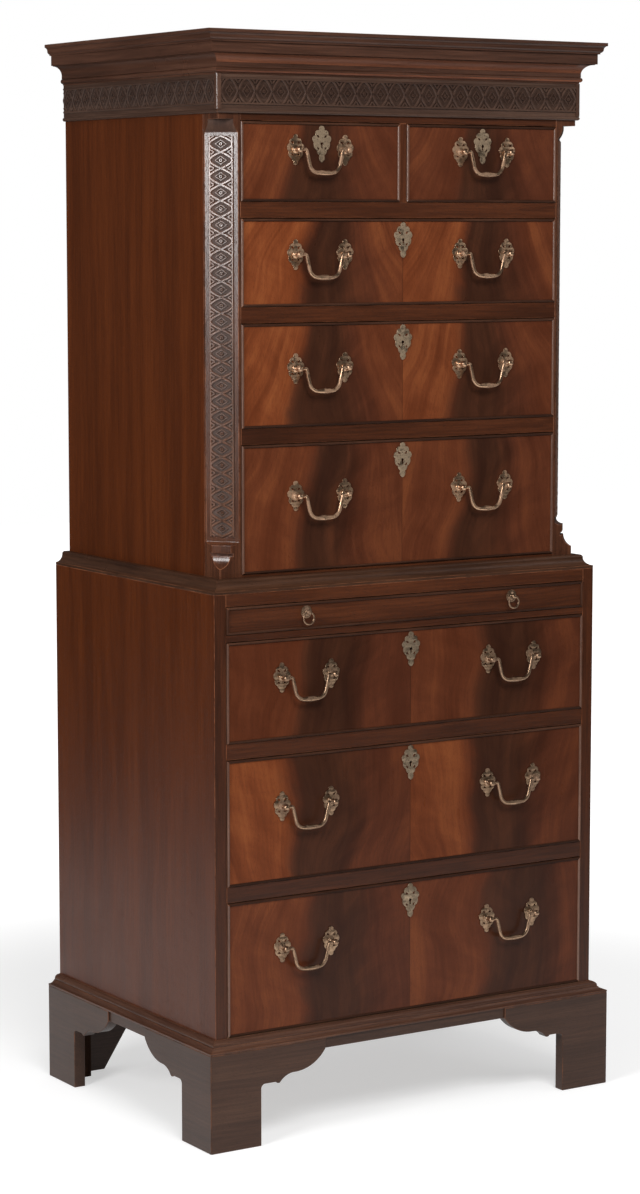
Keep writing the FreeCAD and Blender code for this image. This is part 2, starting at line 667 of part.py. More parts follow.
# ---- Drawers ----
def cockbeads(x0, x1, z0, z1, front_y):
    """Four strips let into the edges of a front, half round in front and mitred."""
    radius = BEAD_WIDTH / 2
    crown = front_y - BEAD_STAND
    straight = crown + radius
    section = [
        (0, LAP),
        (0, straight - front_y),
        ((radius, crown - front_y), (BEAD_WIDTH, straight - front_y)),
        (BEAD_WIDTH, LAP),
    ]
    middle_x = (x0 + x1) / 2
    middle_z = (z0 + z1) / 2
    reach = min(x1 - x0, z1 - z0) / 2
    upright = outline(section, Vector(x0, front_y, z0), ALONG_X, ALONG_Y).extrude(ALONG_Z * (z1 - z0))
    keep = [(x0, z0), (x0 + reach, z0 + reach), (x0 + reach, z1 - reach), (x0, z1)]
    upright = upright.common(wall_of(keep, front_y))
    level = outline(section, Vector(x0, front_y, z0), ALONG_Z, ALONG_Y).extrude(ALONG_X * (x1 - x0))
    keep = [(x0, z0), (x0 + reach, z0 + reach), (x1 - reach, z0 + reach), (x1, z0)]
    level = level.common(wall_of(keep, front_y))
    return [
        upright,
        upright.mirror(Vector(middle_x, 0, 0), ALONG_X),
        level,
        level.mirror(Vector(0, 0, middle_z), ALONG_Z),
    ]


def wall_of(points, front_y):
    face = outline(points, Vector(0, front_y - FRONT_THICKNESS, 0), ALONG_X, ALONG_Z)
    return face.extrude(ALONG_Y * (2 * FRONT_THICKNESS))


def dovetail_pins(x0, x1, y_tip, y_root, z0, z1):
    """The pins between the tails of a drawer side, wider at their root."""
    count = max(2, int(round((z1 - z0) / TAIL_PITCH)))
    pitch = (z1 - z0) / count
    pins = []
    for index in range(count + 1):
        middle = z0 + index * pitch
        tip = PIN_NECK / 2
        root = tip + TAIL_FLARE
        points = [
            (y_tip, middle - tip),
            (y_root, middle - root),
            (y_root, middle + root),
            (y_tip, middle + tip),
        ]
        pin = outline(points, Vector(x0, 0, 0), ALONG_Y, ALONG_Z).extrude(ALONG_X * (x1 - x0))
        pins.append(pin.common(block(x0, x1, min(y_tip, y_root), max(y_tip, y_root), z0, z1)))
    return pins


def keyhole(x, z, y0, y1):
    hole = rod(KEYHOLE_RADIUS, Vector(x, y0, z), Vector(x, y1, z))
    half = KEYHOLE_SLOT / 2
    slot = block(x - half, x + half, y0, y1, z - KEYHOLE_LENGTH, z)
    return hole.fuse(slot).removeSplitter()


def drawer_front(x0, x1, z0, z1, front_y, pulls, lock):
    """The front with its lap for the dovetails, its beads, its holes and the lock's seat."""
    behind = front_y + FRONT_THICKNESS
    bead = BEAD_WIDTH
    face = block(x0 + bead, x1 - bead, front_y, front_y + LAP, z0 + bead, z1 - bead)
    core = block(x0 + LINING, x1 - LINING, front_y + LAP, behind, z0, z1)
    board = face.fuse(core)
    top = z1 - LINING_DROP
    for low_x, high_x in ((x0, x0 + LINING), (x1 - LINING, x1)):
        pins = dovetail_pins(low_x, high_x, front_y + LAP, behind, z0, top)
        cap = block(low_x, high_x, front_y + LAP, behind, top, z1)
        board = board.fuse(pins + [cap])
    board = board.removeSplitter()
    holes = [lock_block(lock[0], lock[1], front_y)]
    holes.append(keyhole(lock[0], lock[1], front_y - LAP, behind - LOCK_DEPTH / 2))
    for x, z in pulls:
        for side in (-1, 1):
            holes.append(shank_bore(x + side * POST_SPACING / 2, z, front_y - LAP, behind + LAP))
    return [board.cut(holes)] + cockbeads(x0, x1, z0, z1, front_y)


def lock_block(x, z, front_y):
    behind = front_y + FRONT_THICKNESS
    half = LOCK_WIDTH / 2
    return block(x - half, x + half, behind - LOCK_DEPTH, behind, z - LOCK_HEIGHT / 2, z + LOCK_HEIGHT / 2)


def drawer_box(x0, x1, z0, z1, front_y, depth):
    """Two dovetailed sides, a back between them and a bottom."""
    top = z1 - LINING_DROP
    tip = front_y + LAP
    root = front_y + FRONT_THICKNESS
    end = front_y + depth
    sides = []
    for low_x, high_x in ((x0, x0 + LINING), (x1 - LINING, x1)):
        side = block(low_x, high_x, tip, end, z0, top)
        pins = dovetail_pins(low_x, high_x, tip, root, z0, top)
        pins += dovetail_pins(low_x, high_x, end, end - LINING, z0 + BOTTOM_LIFT + BOTTOM, top - BACK_DROP)
        sides.append(side.cut(pins))
    inner0 = x0 + LINING
    inner1 = x1 - LINING
    back = block(inner0, inner1, end - LINING, end, z0 + BOTTOM_LIFT + BOTTOM, top - BACK_DROP)
    for low_x, high_x in ((x0, x0 + LINING), (x1 - LINING, x1)):
        pins = dovetail_pins(low_x, high_x, end, end - LINING, z0 + BOTTOM_LIFT + BOTTOM, top - BACK_DROP)
        back = back.fuse(pins)
    bottom = block(inner0, inner1, root, end, z0 + BOTTOM_LIFT, z0 + BOTTOM_LIFT + BOTTOM)
    return sides + [back.removeSplitter(), bottom]


# ---- Brass ----
ROSE_HALF = [
    (0, 23.5),
    ((3.8, 21.5), (4.0, 17.5)),
    ((9.4, 15.6), (11.0, 9.6)),
    ((15.5, 4.0), (12.2, -2.6)),
    ((12.6, -8.8), (8.2, -12.4)),
    ((6.8, -15.6), (4.0, -17.5)),
    ((3.8, -21.5), (0, -23.5)),
]
ROSE_LEAVES = [((3.2, 9.0), (8.2, 12.6), 1.6), ((3.2, -8.8), (7.8, -6.4), 1.4)]
ESCUTCHEON_HALF = [
    (0, 28),
    ((4.4, 25.4), (4.2, 20.8)),
    ((10.6, 19.6), (11.4, 13.4)),
    ((17.0, 9.0), (14.2, 2.6)),
    ((13.8, -5.2), (8.8, -9.6)),
    ((7.8, -14.4), (4.2, -17.4)),
    ((4.2, -24.8), (0, -28)),
]
ESCUTCHEON_LEAVES = [((4.2, 9.6), (9.4, 13.4), 1.6), ((4.6, -9.0), (8.8, -4.6), 1.4)]


def leaf(start, end, bulge):
    """A pierced leaf between two points: two arcs that stand out by the bulge."""
    run = Vector(end[0] - start[0], end[1] - start[1], 0)
    out = Vector(-run.y, run.x, 0) * (bulge / run.Length)
    middle = Vector(start[0] + end[0], start[1] + end[1], 0) / 2
    upper = middle + out
    lower = middle - out
    return [start, ((upper.x, upper.y), end), ((lower.x, lower.y), start)]


def pierced_plate(half, leaves, x, z, front_y):
    origin = Vector(x, front_y - PLATE, z)
    plate = outline(mirrored_points(half), origin, ALONG_X, ALONG_Z).extrude(ALONG_Y * PLATE)
    start = origin - ALONG_Y * PLATE
    piercings = []
    for points in leaves:
        for across in (ALONG_X, ALONG_X * -1):
            piercing = outline(leaf(*points), start, across, ALONG_Z)
            piercings.append(piercing.extrude(ALONG_Y * (3 * PLATE)))
    return plate.cut(piercings)


def shank_bore(x, z, y0, y1):
    return rod(SHANK + SHANK_CLEARANCE, Vector(x, y0, z), Vector(x, y1, z))


def rose(x, z, front_y):
    plate = pierced_plate(ROSE_HALF, ROSE_LEAVES, x, z, front_y)
    return plate.cut(shank_bore(x, z, front_y - 2 * PLATE, front_y + PLATE))


def escutcheon(x, z, front_y):
    plate = pierced_plate(ESCUTCHEON_HALF, ESCUTCHEON_LEAVES, x, z, front_y)
    return plate.cut(keyhole(x, z, front_y - 2 * PLATE, front_y + PLATE))


def ball_points(radius, centre, neck):
    """Turned ball on the axis: (radius, distance) from its neck round to its front."""
    first = math.degrees(math.asin(neck / radius))
    steps = int(math.ceil((180 - first) / BALL_STEP))
    points = []
    for index in range(steps + 1):
        angle = math.radians(first + index * (180 - first) / steps)
        points.append((radius * math.sin(angle), centre - radius * math.cos(angle)))
    return points[:-1] + [(0, centre + radius)]


def turned(points, x, z, front_y):
    """Turn a profile of (radius, distance in front of the drawer) about its axis."""
    face = outline(points, Vector(x, front_y, z), ALONG_X, ALONG_Y * -1)
    return face.revolve(Vector(x, front_y, z), ALONG_Y, 360)


def post(x, z, front_y):
    """Shank, collar, neck and a round head that is bored across for the bail's pin."""
    behind = FRONT_THICKNESS + NUT_HEIGHT + SHANK_END
    points = [
        (0, -behind),
        (SHANK, -behind),
        (SHANK, PLATE),
        (POST_COLLAR, PLATE),
        (POST_COLLAR, PLATE + COLLAR_EDGE),
        (POST_NECK, PLATE + 2 * COLLAR_EDGE),
    ]
    whole = turned(points + ball_points(POST_HEAD, PIVOT_STAND, POST_NECK), x, z, front_y)
    pivot = Vector(x, front_y - PIVOT_STAND, z)
    side = ALONG_X * (2 * POST_HEAD)
    return whole.cut(rod(BAIL_PIN + PIN_CLEARANCE, pivot - side, pivot + side))


def nut(x, z, front_y):
    """Six-sided nut on the shank, against the inside of the front."""
    behind = front_y + FRONT_THICKNESS
    corners = []
    for index in range(NUT_SIDES):
        angle = 2 * math.pi * index / NUT_SIDES
        corners.append((NUT_RADIUS * math.cos(angle), NUT_RADIUS * math.sin(angle)))
    body = outline(corners, Vector(x, behind, z), ALONG_X, ALONG_Z).extrude(ALONG_Y * NUT_HEIGHT)
    return body.cut(shank_bore(x, z, behind - NUT_HEIGHT, behind + 2 * NUT_HEIGHT))


def drawer_brass(front_y, pulls, lock):
    solids = []
    for x, z in pulls:
        for side in (-1, 1):
            at = x + side * POST_SPACING / 2
            solids += [rose(at, z, front_y), post(at, z, front_y), nut(at, z, front_y)]
    x, z = lock
    return solids + [escutcheon(x, z, front_y), lock_block(x, z, front_y)]


def turn_points(centre, radius, first, last):
    """Points along an arc, in degrees from the first angle to the last, without its start."""
    steps = int(math.ceil(abs(last - first) / BEND_STEP))
    points = []
    for index in range(1, steps + 1):
        angle = math.radians(first + index * (last - first) / steps)
        points.append((centre[0] + radius * math.cos(angle), centre[1] + radius * math.sin(angle)))
    return points


def bail_path():
    """Half of the swan neck in its own plane: up from the post, over, and down a leaning arm."""
    start = (POST_SPACING / 2 - POST_HEAD - BAIL_END_GAP, 0)
    points = [start]
    points += turn_points((start[0], NECK_RISE), NECK_RISE, -90, -90 - NECK_TURN)
    crest = points[-1]
    turn = math.radians(NECK_TURN)
    over = (crest[0] - NECK_FALL * math.sin(turn), crest[1] - NECK_FALL * math.cos(turn))
    points += turn_points(over, NECK_FALL, 90 - NECK_TURN, 180 - ARM_SLANT)
    arm = points[-1]
    slant = math.radians(ARM_SLANT)
    corner_w = BAIL_CORNER - BAIL_DROP
    foot_w = corner_w - BAIL_CORNER * math.sin(slant)
    foot_u = arm[0] - (arm[1] - foot_w) * math.tan(slant)
    points.append((foot_u, foot_w))
    corner = (foot_u - BAIL_CORNER * math.cos(slant), corner_w)
    points += turn_points(corner, BAIL_CORNER, -ARM_SLANT, -90)
    return points


def bar_section(radius):
    """Corners of a flat-sided section that is as wide across its flats as a round one."""
    half_side = math.pi / BAR_SIDES
    reach = radius / math.cos(half_side)
    corners = []
    for index in range(BAR_SIDES):
        angle = (2 * index + 1) * half_side
        corners.append((reach * math.cos(angle), reach * math.sin(angle)))
    return corners


def bail():
    """The swan-neck bail about the origin, its pivot on the X axis."""
    half = bail_path()
    right = [Vector(u, 0, w) for u, w in half]
    left = [Vector(-u, 0, w) for u, w in half]
    path = Part.makePolygon(right + left[::-1])
    section = outline(bar_section(BAIL_RADIUS), right[0], ALONG_Y, ALONG_Z).OuterWire
    bar = path.makePipeShell([section], True, True, 1)
    grip = []
    for at, radius in ((-GRIP_HALF_LENGTH, BAIL_RADIUS), (0, GRIP_RADIUS), (GRIP_HALF_LENGTH, BAIL_RADIUS)):
        face = outline(bar_section(radius), Vector(at, 0, -BAIL_DROP), ALONG_Y, ALONG_Z)
        grip.append(face.OuterWire)
    grip = Part.makeLoft(grip, True, True)
    pins = []
    for side in (-1, 1):
        inner = Vector(side * (half[0][0] - BAIL_END_GAP), 0, 0)
        outer = Vector(side * (POST_SPACING / 2 + PIN_REACH), 0, 0)
        pins.append(rod(BAIL_PIN, inner, outer))
    return bar.fuse([grip] + pins).removeSplitter()


def ring_fitting(x, z, front_y):
    """A small round plate, its shank and an eye, for a ring on the brushing slide."""
    points = [
        (0, -FRONT_THICKNESS / 2),
        (SHANK, -FRONT_THICKNESS / 2),
        (SHANK, 0),
        (RING_PLATE, 0),
        (RING_PLATE, PLATE / 2),
        (SHANK, 2 * PLATE),
    ]
    whole = turned(points + ball_points(RING_EYE, RING_STAND, SHANK), x, z, front_y)
    centre = Vector(x, front_y - RING_STAND, z)
    side = ALONG_X * (2 * RING_EYE)
    return whole.cut(rod(RING_EYE_HOLE, centre - side, centre + side))


def pull_ring(x, z, front_y):
    """The ring hangs in its eye, the wire through the middle of the eye."""
    eye = Vector(x, front_y - RING_STAND, z)
    wire = outline(bar_section(RING_WIRE), eye, ALONG_Y, ALONG_Z)
    return wire.revolve(eye - ALONG_Z * RING_RADIUS, ALONG_Y, 360)


# ---- The drawers and the slide, one by one ----
def drawer_list():
    """Each drawer: name, opening, front plane, depth, handle places and lock place."""
    rows = []
    for index, (low, high) in enumerate(LOWER_LEVELS):
        middle = (low + high) / 2 + LOWER_PULL_RISE[index]
        pulls = [(-LOWER_PULL_X, middle), (LOWER_PULL_X, middle)]
        name = "lower_drawer_" + str(len(LOWER_LEVELS) - index)
        opening = (-LOWER_OPEN_X, LOWER_OPEN_X, low, high)
        rows.append((name, opening, FRONT_Y, LOWER_DRAWER_DEPTH, pulls, (0, high - ESCUTCHEON_DROP)))
    for index, (low, high) in enumerate(UPPER_LEVELS[:-1]):
        middle = (low + high) / 2 + UPPER_PULL_RISE[index]
        pulls = [(-UPPER_PULL_X, middle), (UPPER_PULL_X, middle)]
        name = "upper_drawer_" + str(len(UPPER_LEVELS) - 1 - index)
        opening = (-UPPER_OPEN_X, UPPER_OPEN_X, low, high)
        rows.append((name, opening, UPPER_FRONT_Y, UPPER_DRAWER_DEPTH, pulls, (0, high - ESCUTCHEON_DROP)))
    low, high = SHORT_LEVEL
    middle = (low + high) / 2 + SHORT_PULL_RISE
    half = SHORT_DIVIDER / 2
    for side, x0, x1 in (("left", -UPPER_OPEN_X, -half), ("right", half, UPPER_OPEN_X)):
        at = math.copysign(UPPER_PULL_X, x0 + x1)
        lock = (at, high - ESCUTCHEON_DROP)
        opening = (x0, x1, low, high)
        name = "short_drawer_" + side
        rows.append((name, opening, UPPER_FRONT_Y, UPPER_DRAWER_DEPTH, [(at, middle)], lock))
    return rows


def save_drawers():
    handle = bail()
    for name, opening, front_y, depth, pulls, lock in drawer_list():
        x0 = opening[0] + SIDE_GAP
        x1 = opening[1] - SIDE_GAP
        z0 = opening[2] + RUN_GAP
        z1 = opening[3] - TOP_GAP
        save(name + "_front", drawer_front(x0, x1, z0, z1, front_y, pulls, lock))
        save(name + "_box", drawer_box(x0, x1, z0, z1, front_y, depth))
        save(name + "_brass", drawer_brass(front_y, pulls, lock))
        for x, z in pulls:
            side = "_left" if x < 0 else "_right"
            node = name + "_bail" if len(pulls) == 1 else name + "_bail" + side
            save(node, [handle.translated(Vector(x, front_y - PIVOT_STAND, z))])


def save_slide():
    """The brushing slide: a flat board behind a beaded front, with two ring pulls."""
    x0 = -LOWER_OPEN_X + SIDE_GAP
    x1 = LOWER_OPEN_X - SIDE_GAP
    z0 = SLIDE_BOTTOM + RUN_GAP
    z1 = SLIDE_TOP - TOP_GAP
    middle = (SLIDE_BOTTOM + SLIDE_TOP) / 2
    behind = FRONT_Y + FRONT_THICKNESS
    face = block(x0 + BEAD_WIDTH, x1 - BEAD_WIDTH, FRONT_Y, FRONT_Y + LAP, z0 + BEAD_WIDTH, z1 - BEAD_WIDTH)
    front = face.fuse(block(x0, x1, FRONT_Y + LAP, behind, z0, z1)).removeSplitter()
    low = middle - SLIDE_BOARD / 2
    board = block(x0, x1, behind, FRONT_Y + SLIDE_DEPTH, low, low + SLIDE_BOARD)
    fittings = []
    for side, x in (("left", -LOWER_PULL_X), ("right", LOWER_PULL_X)):
        z = middle + RING_RISE
        fittings.append(ring_fitting(x, z, FRONT_Y))
        front = front.cut(shank_bore(x, z, FRONT_Y, FRONT_Y + FRONT_THICKNESS / 2))
        save("slide_ring_" + side, [pull_ring(x, z, FRONT_Y)])
    save("slide_board", [front, board] + cockbeads(x0, x1, z0, z1, FRONT_Y))
    save("slide_brass", fittings)


def save_cases():
    save("lower_sides", both_sides(case_side(CASE_X, LOWER_SIDE, FRONT_Y, FOOT_HEIGHT, LOWER_TOP)))
    save("lower_back", backboards(LOWER_OPEN_X + BACK_REBATE, FOOT_HEIGHT, LOWER_TOP, LOWER_BACKBOARDS))
    save("lower_rails", lower_rails())
    save("lower_boards", lower_boards())
    save("waist_moulding", waist_moulding())
    save("base_moulding", base_moulding())
    save("base_frame", base_frame() + foot_blocks())
    save("front_feet", front_feet())
    save("rear_feet", rear_feet())
    save("upper_sides", both_sides(case_side(UPPER_X, UPPER_SIDE, UPPER_BEHIND_RAIL, LOWER_TOP, UPPER_TOP)))
    save("upper_back", backboards(UPPER_INNER_X + BACK_REBATE, LOWER_TOP, UPPER_TOP, UPPER_BACKBOARDS))
    save("upper_rails", upper_rails())
    save("upper_boards", upper_boards())
    save("canted_corners", both_sides(canted_corner()))
    save("frieze", frieze())
    save("cornice", cornice())


os.makedirs("parts", exist_ok=True)
save_cases()
save_drawers()
save_slide()
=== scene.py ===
# %% [markdown]
# # Dressing a mahogany chest on chest
#
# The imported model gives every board, drawer and fitting its true size and place. This lesson
# keeps those sizes and adds what a cabinet-maker's eye looks for: softened edges, grain that
# follows each board, flame veneer on the drawers, blind frets on the frieze and the canted
# corners, and old brass handles. Lengths are in metres, except in the cells on brass that say
# millimetres.

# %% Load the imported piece
import json
import math

import bmesh
import bpy
from mathutils import Matrix, Vector

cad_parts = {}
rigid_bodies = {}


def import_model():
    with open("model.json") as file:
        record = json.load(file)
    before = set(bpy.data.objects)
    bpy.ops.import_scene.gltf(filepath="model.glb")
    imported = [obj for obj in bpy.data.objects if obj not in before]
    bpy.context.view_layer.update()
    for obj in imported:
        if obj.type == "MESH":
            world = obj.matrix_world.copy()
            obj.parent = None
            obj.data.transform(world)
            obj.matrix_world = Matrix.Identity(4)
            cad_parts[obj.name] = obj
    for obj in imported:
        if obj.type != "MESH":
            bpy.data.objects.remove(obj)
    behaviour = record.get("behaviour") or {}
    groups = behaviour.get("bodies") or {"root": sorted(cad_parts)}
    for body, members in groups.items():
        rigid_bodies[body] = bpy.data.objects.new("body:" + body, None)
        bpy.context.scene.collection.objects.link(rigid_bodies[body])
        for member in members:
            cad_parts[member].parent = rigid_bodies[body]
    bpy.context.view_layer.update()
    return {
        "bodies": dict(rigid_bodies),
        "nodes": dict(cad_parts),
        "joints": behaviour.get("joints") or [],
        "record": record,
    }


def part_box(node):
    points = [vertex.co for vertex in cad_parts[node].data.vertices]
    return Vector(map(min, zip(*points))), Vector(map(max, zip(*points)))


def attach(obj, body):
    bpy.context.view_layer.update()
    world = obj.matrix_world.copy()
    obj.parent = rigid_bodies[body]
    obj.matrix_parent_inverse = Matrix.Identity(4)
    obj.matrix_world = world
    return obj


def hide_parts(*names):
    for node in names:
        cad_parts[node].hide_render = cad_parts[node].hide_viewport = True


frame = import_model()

nodes = frame["nodes"]
nodes_of_body = frame["record"]["behaviour"]["bodies"]
body_of_node = {name: body for body, names in nodes_of_body.items() for name in names}
joint_of_body = {joint["child"]: joint for joint in frame["joints"]}

# %% [markdown]
# ## The viewpoint
#
# The piece is seen from its front left, level with the upper case. A long lens keeps the
# uprights nearly parallel, as furniture is usually recorded.

# %% The camera
CAMERA_PLACE = (-2.764, -4.338, 1.4385)
CAMERA_TURN = 32.38  # degrees to the right of straight at the front
CAMERA_TIP = 6.83  # degrees below the horizon
LENS_MM = 93.9
FILM_HEIGHT_MM = 36.0


def add_object(name, data):
    data.name = name
    thing = bpy.data.objects.new(name, data)
    bpy.context.scene.collection.objects.link(thing)
    return thing


camera = add_object("camera", bpy.data.cameras.new("camera"))
camera.location = CAMERA_PLACE
camera.rotation_euler = (math.radians(90 - CAMERA_TIP), 0, math.radians(-CAMERA_TURN))
camera.data.sensor_fit = "VERTICAL"
camera.data.sensor_height = FILM_HEIGHT_MM
camera.data.lens = LENS_MM
bpy.context.scene.camera = camera
bpy.context.scene.view_settings.view_transform = "Standard"
print("camera at", CAMERA_PLACE, "turned", CAMERA_TURN, "tipped", CAMERA_TIP)

# %% [markdown]
# ## A bench for laying nodes
#
# A finish is a recipe of small steps: stretch the grain, cloud it, cut pores, tint. Each step
# is one node. The `Bench` lays a node, fills its sockets, and hands back a `Wire` from its
# output. Wires add, subtract and multiply as numbers do, so a finish reads as a few lines.

# %% The bench
class Wire:
    """The output of a node. Square brackets pick another output of the same node."""

    def __init__(self, bench, socket):
        self.bench = bench
        self.socket = socket

    def __getitem__(self, name):
        return Wire(self.bench, self.socket.node.outputs[name])

    def __add__(self, other):
        return self.bench.math("ADD", self, other)

    def __sub__(self, other):
        return self.bench.math("SUBTRACT", self, other)

    def __rsub__(self, other):
        return self.bench.math("SUBTRACT", other, self)

    def __mul__(self, other):
        return self.bench.math("MULTIPLY", self, other)

    def held(self):
        """The same sum, held between 0 and 1."""
        self.socket.node.use_clamp = True
        return self


class Bench:
    """Lays nodes on one tree and wires them."""

    def __init__(self, tree):
        self.tree = tree

    def place(self, kind, *values, named=None, **settings):
        """A new node, its inputs filled in order and then by name."""
        node = self.tree.nodes.new(kind)
        for name, value in settings.items():
            setattr(node, name, value)
        for socket, value in zip(node.inputs, values):
            self.feed(socket, value)
        for name, value in (named or {}).items():
            self.feed(node.inputs[name], value)
        return node

    def feed(self, socket, value):
        if isinstance(value, Wire):
            self.tree.links.new(value.socket, socket)
        elif value is not None:
            socket.default_value = value

    def lay(self, kind, *values, pick=0, **rest):
        """A new node, and the wire from one of its outputs."""
        return Wire(self, self.place(kind, *values, **rest).outputs[pick])

    def math(self, operation, *values):
        return self.lay("ShaderNodeMath", *values, operation=operation)

    def use(self, tree, **named):
        return self.lay("ShaderNodeGroup", node_tree=tree, named=named)

    def give(self, **named):
        """Wire a group's results to its own outputs, and hand back the finished group."""
        self.place("NodeGroupOutput", named=named)
        return self.tree

    def number(self, name):
        return self.lay("ShaderNodeAttribute", attribute_name=name, pick="Fac")

    def vector(self, name):
        return self.lay("ShaderNodeAttribute", attribute_name=name, pick="Vector")

    def object_place(self):
        return self.lay("ShaderNodeTexCoord", pick="Object")

    def split(self, vector):
        return self.lay("ShaderNodeSeparateXYZ", vector)

    def gather(self, x, y, z):
        return self.lay("ShaderNodeCombineXYZ", x, y, z)

    def stretch(self, vector, scale, turn=(0, 0, 0)):
        return self.lay("ShaderNodeMapping", vector, None, turn, scale)

    def cloud(self, vector, scale=None, detail=3.0, rough=0.55, twist=0.0):
        vector = self.stretch(vector, scale) if scale else vector
        named = {"Scale": 1.0, "Detail": detail, "Roughness": rough, "Distortion": twist}
        return self.lay("ShaderNodeTexNoise", vector, named=named, pick="Fac")

    def between(self, value, *marks):
        """Smoothly from 0 at the first mark to 1 at the second, or from the third mark to the fourth."""
        marks = marks if len(marks) == 4 else (*marks, 0.0, 1.0)
        return self.lay("ShaderNodeMapRange", value, *marks, interpolation_type="SMOOTHSTEP")

    def tint(self, factor, first, second):
        node = self.place("ShaderNodeMix", factor, data_type="RGBA")
        self.feed(node.inputs[6], first)
        self.feed(node.inputs[7], second)
        return Wire(self, node.outputs[2])

    def ramp(self, factor, places, tones):
        wire = self.lay("ShaderNodeValToRGB", factor)
        marks = wire.socket.node.color_ramp.elements
        marks.new(0.5)
        for mark, place, tone in zip(marks, places, tones):
            mark.position = place
            mark.color = tone
        return wire


def shade(red, green, blue):
    """A colour as it is read off a screen, 0 to 255, made linear for the shader."""
    screen = (red / 255, green / 255, blue / 255)
    return (*(((v + 0.055) / 1.055) ** 2.4 if v > 0.0393 else v / 12.92 for v in screen), 1.0)


def grey(level):
    return (level, level, level, 1)


def group(name, takes, gives, gives_kind="Float", tree_kind="ShaderNodeTree"):
    """The bench for a new node group, and its inputs: each has a first number or a kind."""
    tree = bpy.data.node_groups.new(name, tree_kind)
    for label, first in takes.items():
        kind = first if isinstance(first, str) else "Float"
        socket = tree.interface.new_socket(label, in_out="INPUT", socket_type="NodeSocket" + kind)
        if kind != first:
            socket.default_value = first
    for label in gives:
        tree.interface.new_socket(label, in_out="OUTPUT", socket_type="NodeSocket" + gives_kind)
    bench = Bench(tree)
    return bench, bench.lay("NodeGroupInput")


print("the bench is ready")

# %% [markdown]
# ## White paper and soft boxes
#
# The chest stands on white paper. The paper and the background are white to the camera, and the
# near paper is also white in the polish, which makes the foot of a polished side look milky.
# Farther out the room is dim, so the rest of the wood keeps its depth. The lamps are large and
# soft: one at the left for the glow on the canted corner, one high in front, a weak one at the
# right.

# %% The paper, the room and the lamps
PAPER_HALF = 9
PAPER_UNDER = 0.0004  # the paper lies this far below the feet
PAPER_NEAR = 2.2  # the polish sees the paper as white out to here
PAPER_DARK = 2.4
SHADOW_REACH = (0.9, 2.0)  # the shadow on the paper fades out between these
PAPER_ALBEDO = 0.58  # the rest of its white is given to the camera and to the polish
PAPER_GLOW = 0.52
ROOM_LIGHT = 0.38
ROOM_IN_POLISH = 0.05

paper_mesh = bpy.data.meshes.new("paper")
corners = [(PAPER_HALF * x, PAPER_HALF * y, -PAPER_UNDER) for x, y in ((-1, -1), (1, -1), (1, 1), (-1, 1))]
paper_mesh.from_pydata(corners, [], [(0, 1, 2, 3)])
paper = add_object("paper", paper_mesh)


def bare_bench(owner):
    """A bench on a material or a world whose own nodes are cleared away."""
    owner.use_nodes = True
    owner.node_tree.nodes.clear()
    return Bench(owner.node_tree)


def paper_finish():
    """Paper that scatters the lamps, and glows for the camera and, near the chest, the polish."""
    material = bpy.data.materials.new("white_paper")
    bench = bare_bench(material)
    rays = bench.lay("ShaderNodeLightPath")
    by_camera, by_polish = rays["Is Camera Ray"], rays["Is Glossy Ray"]
    place = bench.object_place()
    reach = bench.lay("ShaderNodeVectorMath", place, operation="LENGTH", pick="Value")
    near = bench.between(reach, PAPER_DARK, PAPER_NEAR)
    seen = bench.math("MAXIMUM", by_camera, rays["Is Transmission Ray"])
    seen = bench.math("MAXIMUM", seen, by_polish * near)
    grain = bench.cloud(place, (300, 300, 300), detail=1.0)
    white = bench.tint(grain, grey(PAPER_ALBEDO * 0.98), grey(PAPER_ALBEDO))
    matt = bench.lay("ShaderNodeBsdfDiffuse", bench.tint(by_polish * (1.0 - near), white, grey(0.03)))
    level = by_camera * bench.between(reach, *SHADOW_REACH, PAPER_GLOW, 1.0) + (1.0 - by_camera) * PAPER_GLOW
    glow = bench.lay("ShaderNodeEmission", grey(1), seen * level)
    bench.place("ShaderNodeOutputMaterial", bench.lay("ShaderNodeAddShader", matt, glow))
    return material


def room_finish():
    """A plain dim room that is white only to the camera and through glass."""
    world = bpy.data.worlds.new("room")
    bench = bare_bench(world)
    rays = bench.lay("ShaderNodeLightPath")
    seen = bench.math("MAXIMUM", rays["Is Camera Ray"], rays["Is Transmission Ray"])
    plain = bench.tint(rays["Is Glossy Ray"], grey(ROOM_LIGHT), grey(ROOM_IN_POLISH))
    back = bench.lay("ShaderNodeBackground", bench.tint(seen, plain, grey(1)), 1.0)
    bench.place("ShaderNodeOutputWorld", back)
    return world


def soft_box(name, place, aim, size, power, mirrored=True):
    lamp = bpy.data.lights.new(name, "AREA")
    lamp.shape = "RECTANGLE"
    lamp.size, lamp.size_y = size
    lamp.energy = power
    box = add_object(name, lamp)
    box.location = place
    box.rotation_euler = (Vector(aim) - Vector(place)).to_track_quat("-Z", "Y").to_euler()
    box.visible_camera = False
    box.visible_glossy = mirrored


paper_mesh.materials.append(paper_finish())
bpy.context.scene.world = room_finish()
soft_box("left_box", (-3.14, -1.24, 2.05), (-0.32, -0.20, 1.50), (0.9, 1.3), 72)
soft_box("high_box", (-0.9, -3.6, 3.9), (0, -0.2, 0.9), (2.2, 1.6), 140, mirrored=False)
soft_box("right_box", (3.2, -2.2, 3.0), (0, 0, 0.9), (1.6, 1.6), 14)
print("lamps", [lamp.name for lamp in bpy.data.lights])

# %% [markdown]
# ## Wood grain as a shared effect
#
# Every wooden surface shows broad bands where the log's colour drifts, fine streaks along the
# board, and open pores like short pencil dashes. The group reads a vector whose first number is
# the distance along the board, and gives out masks and a height; each wood picks its colours.

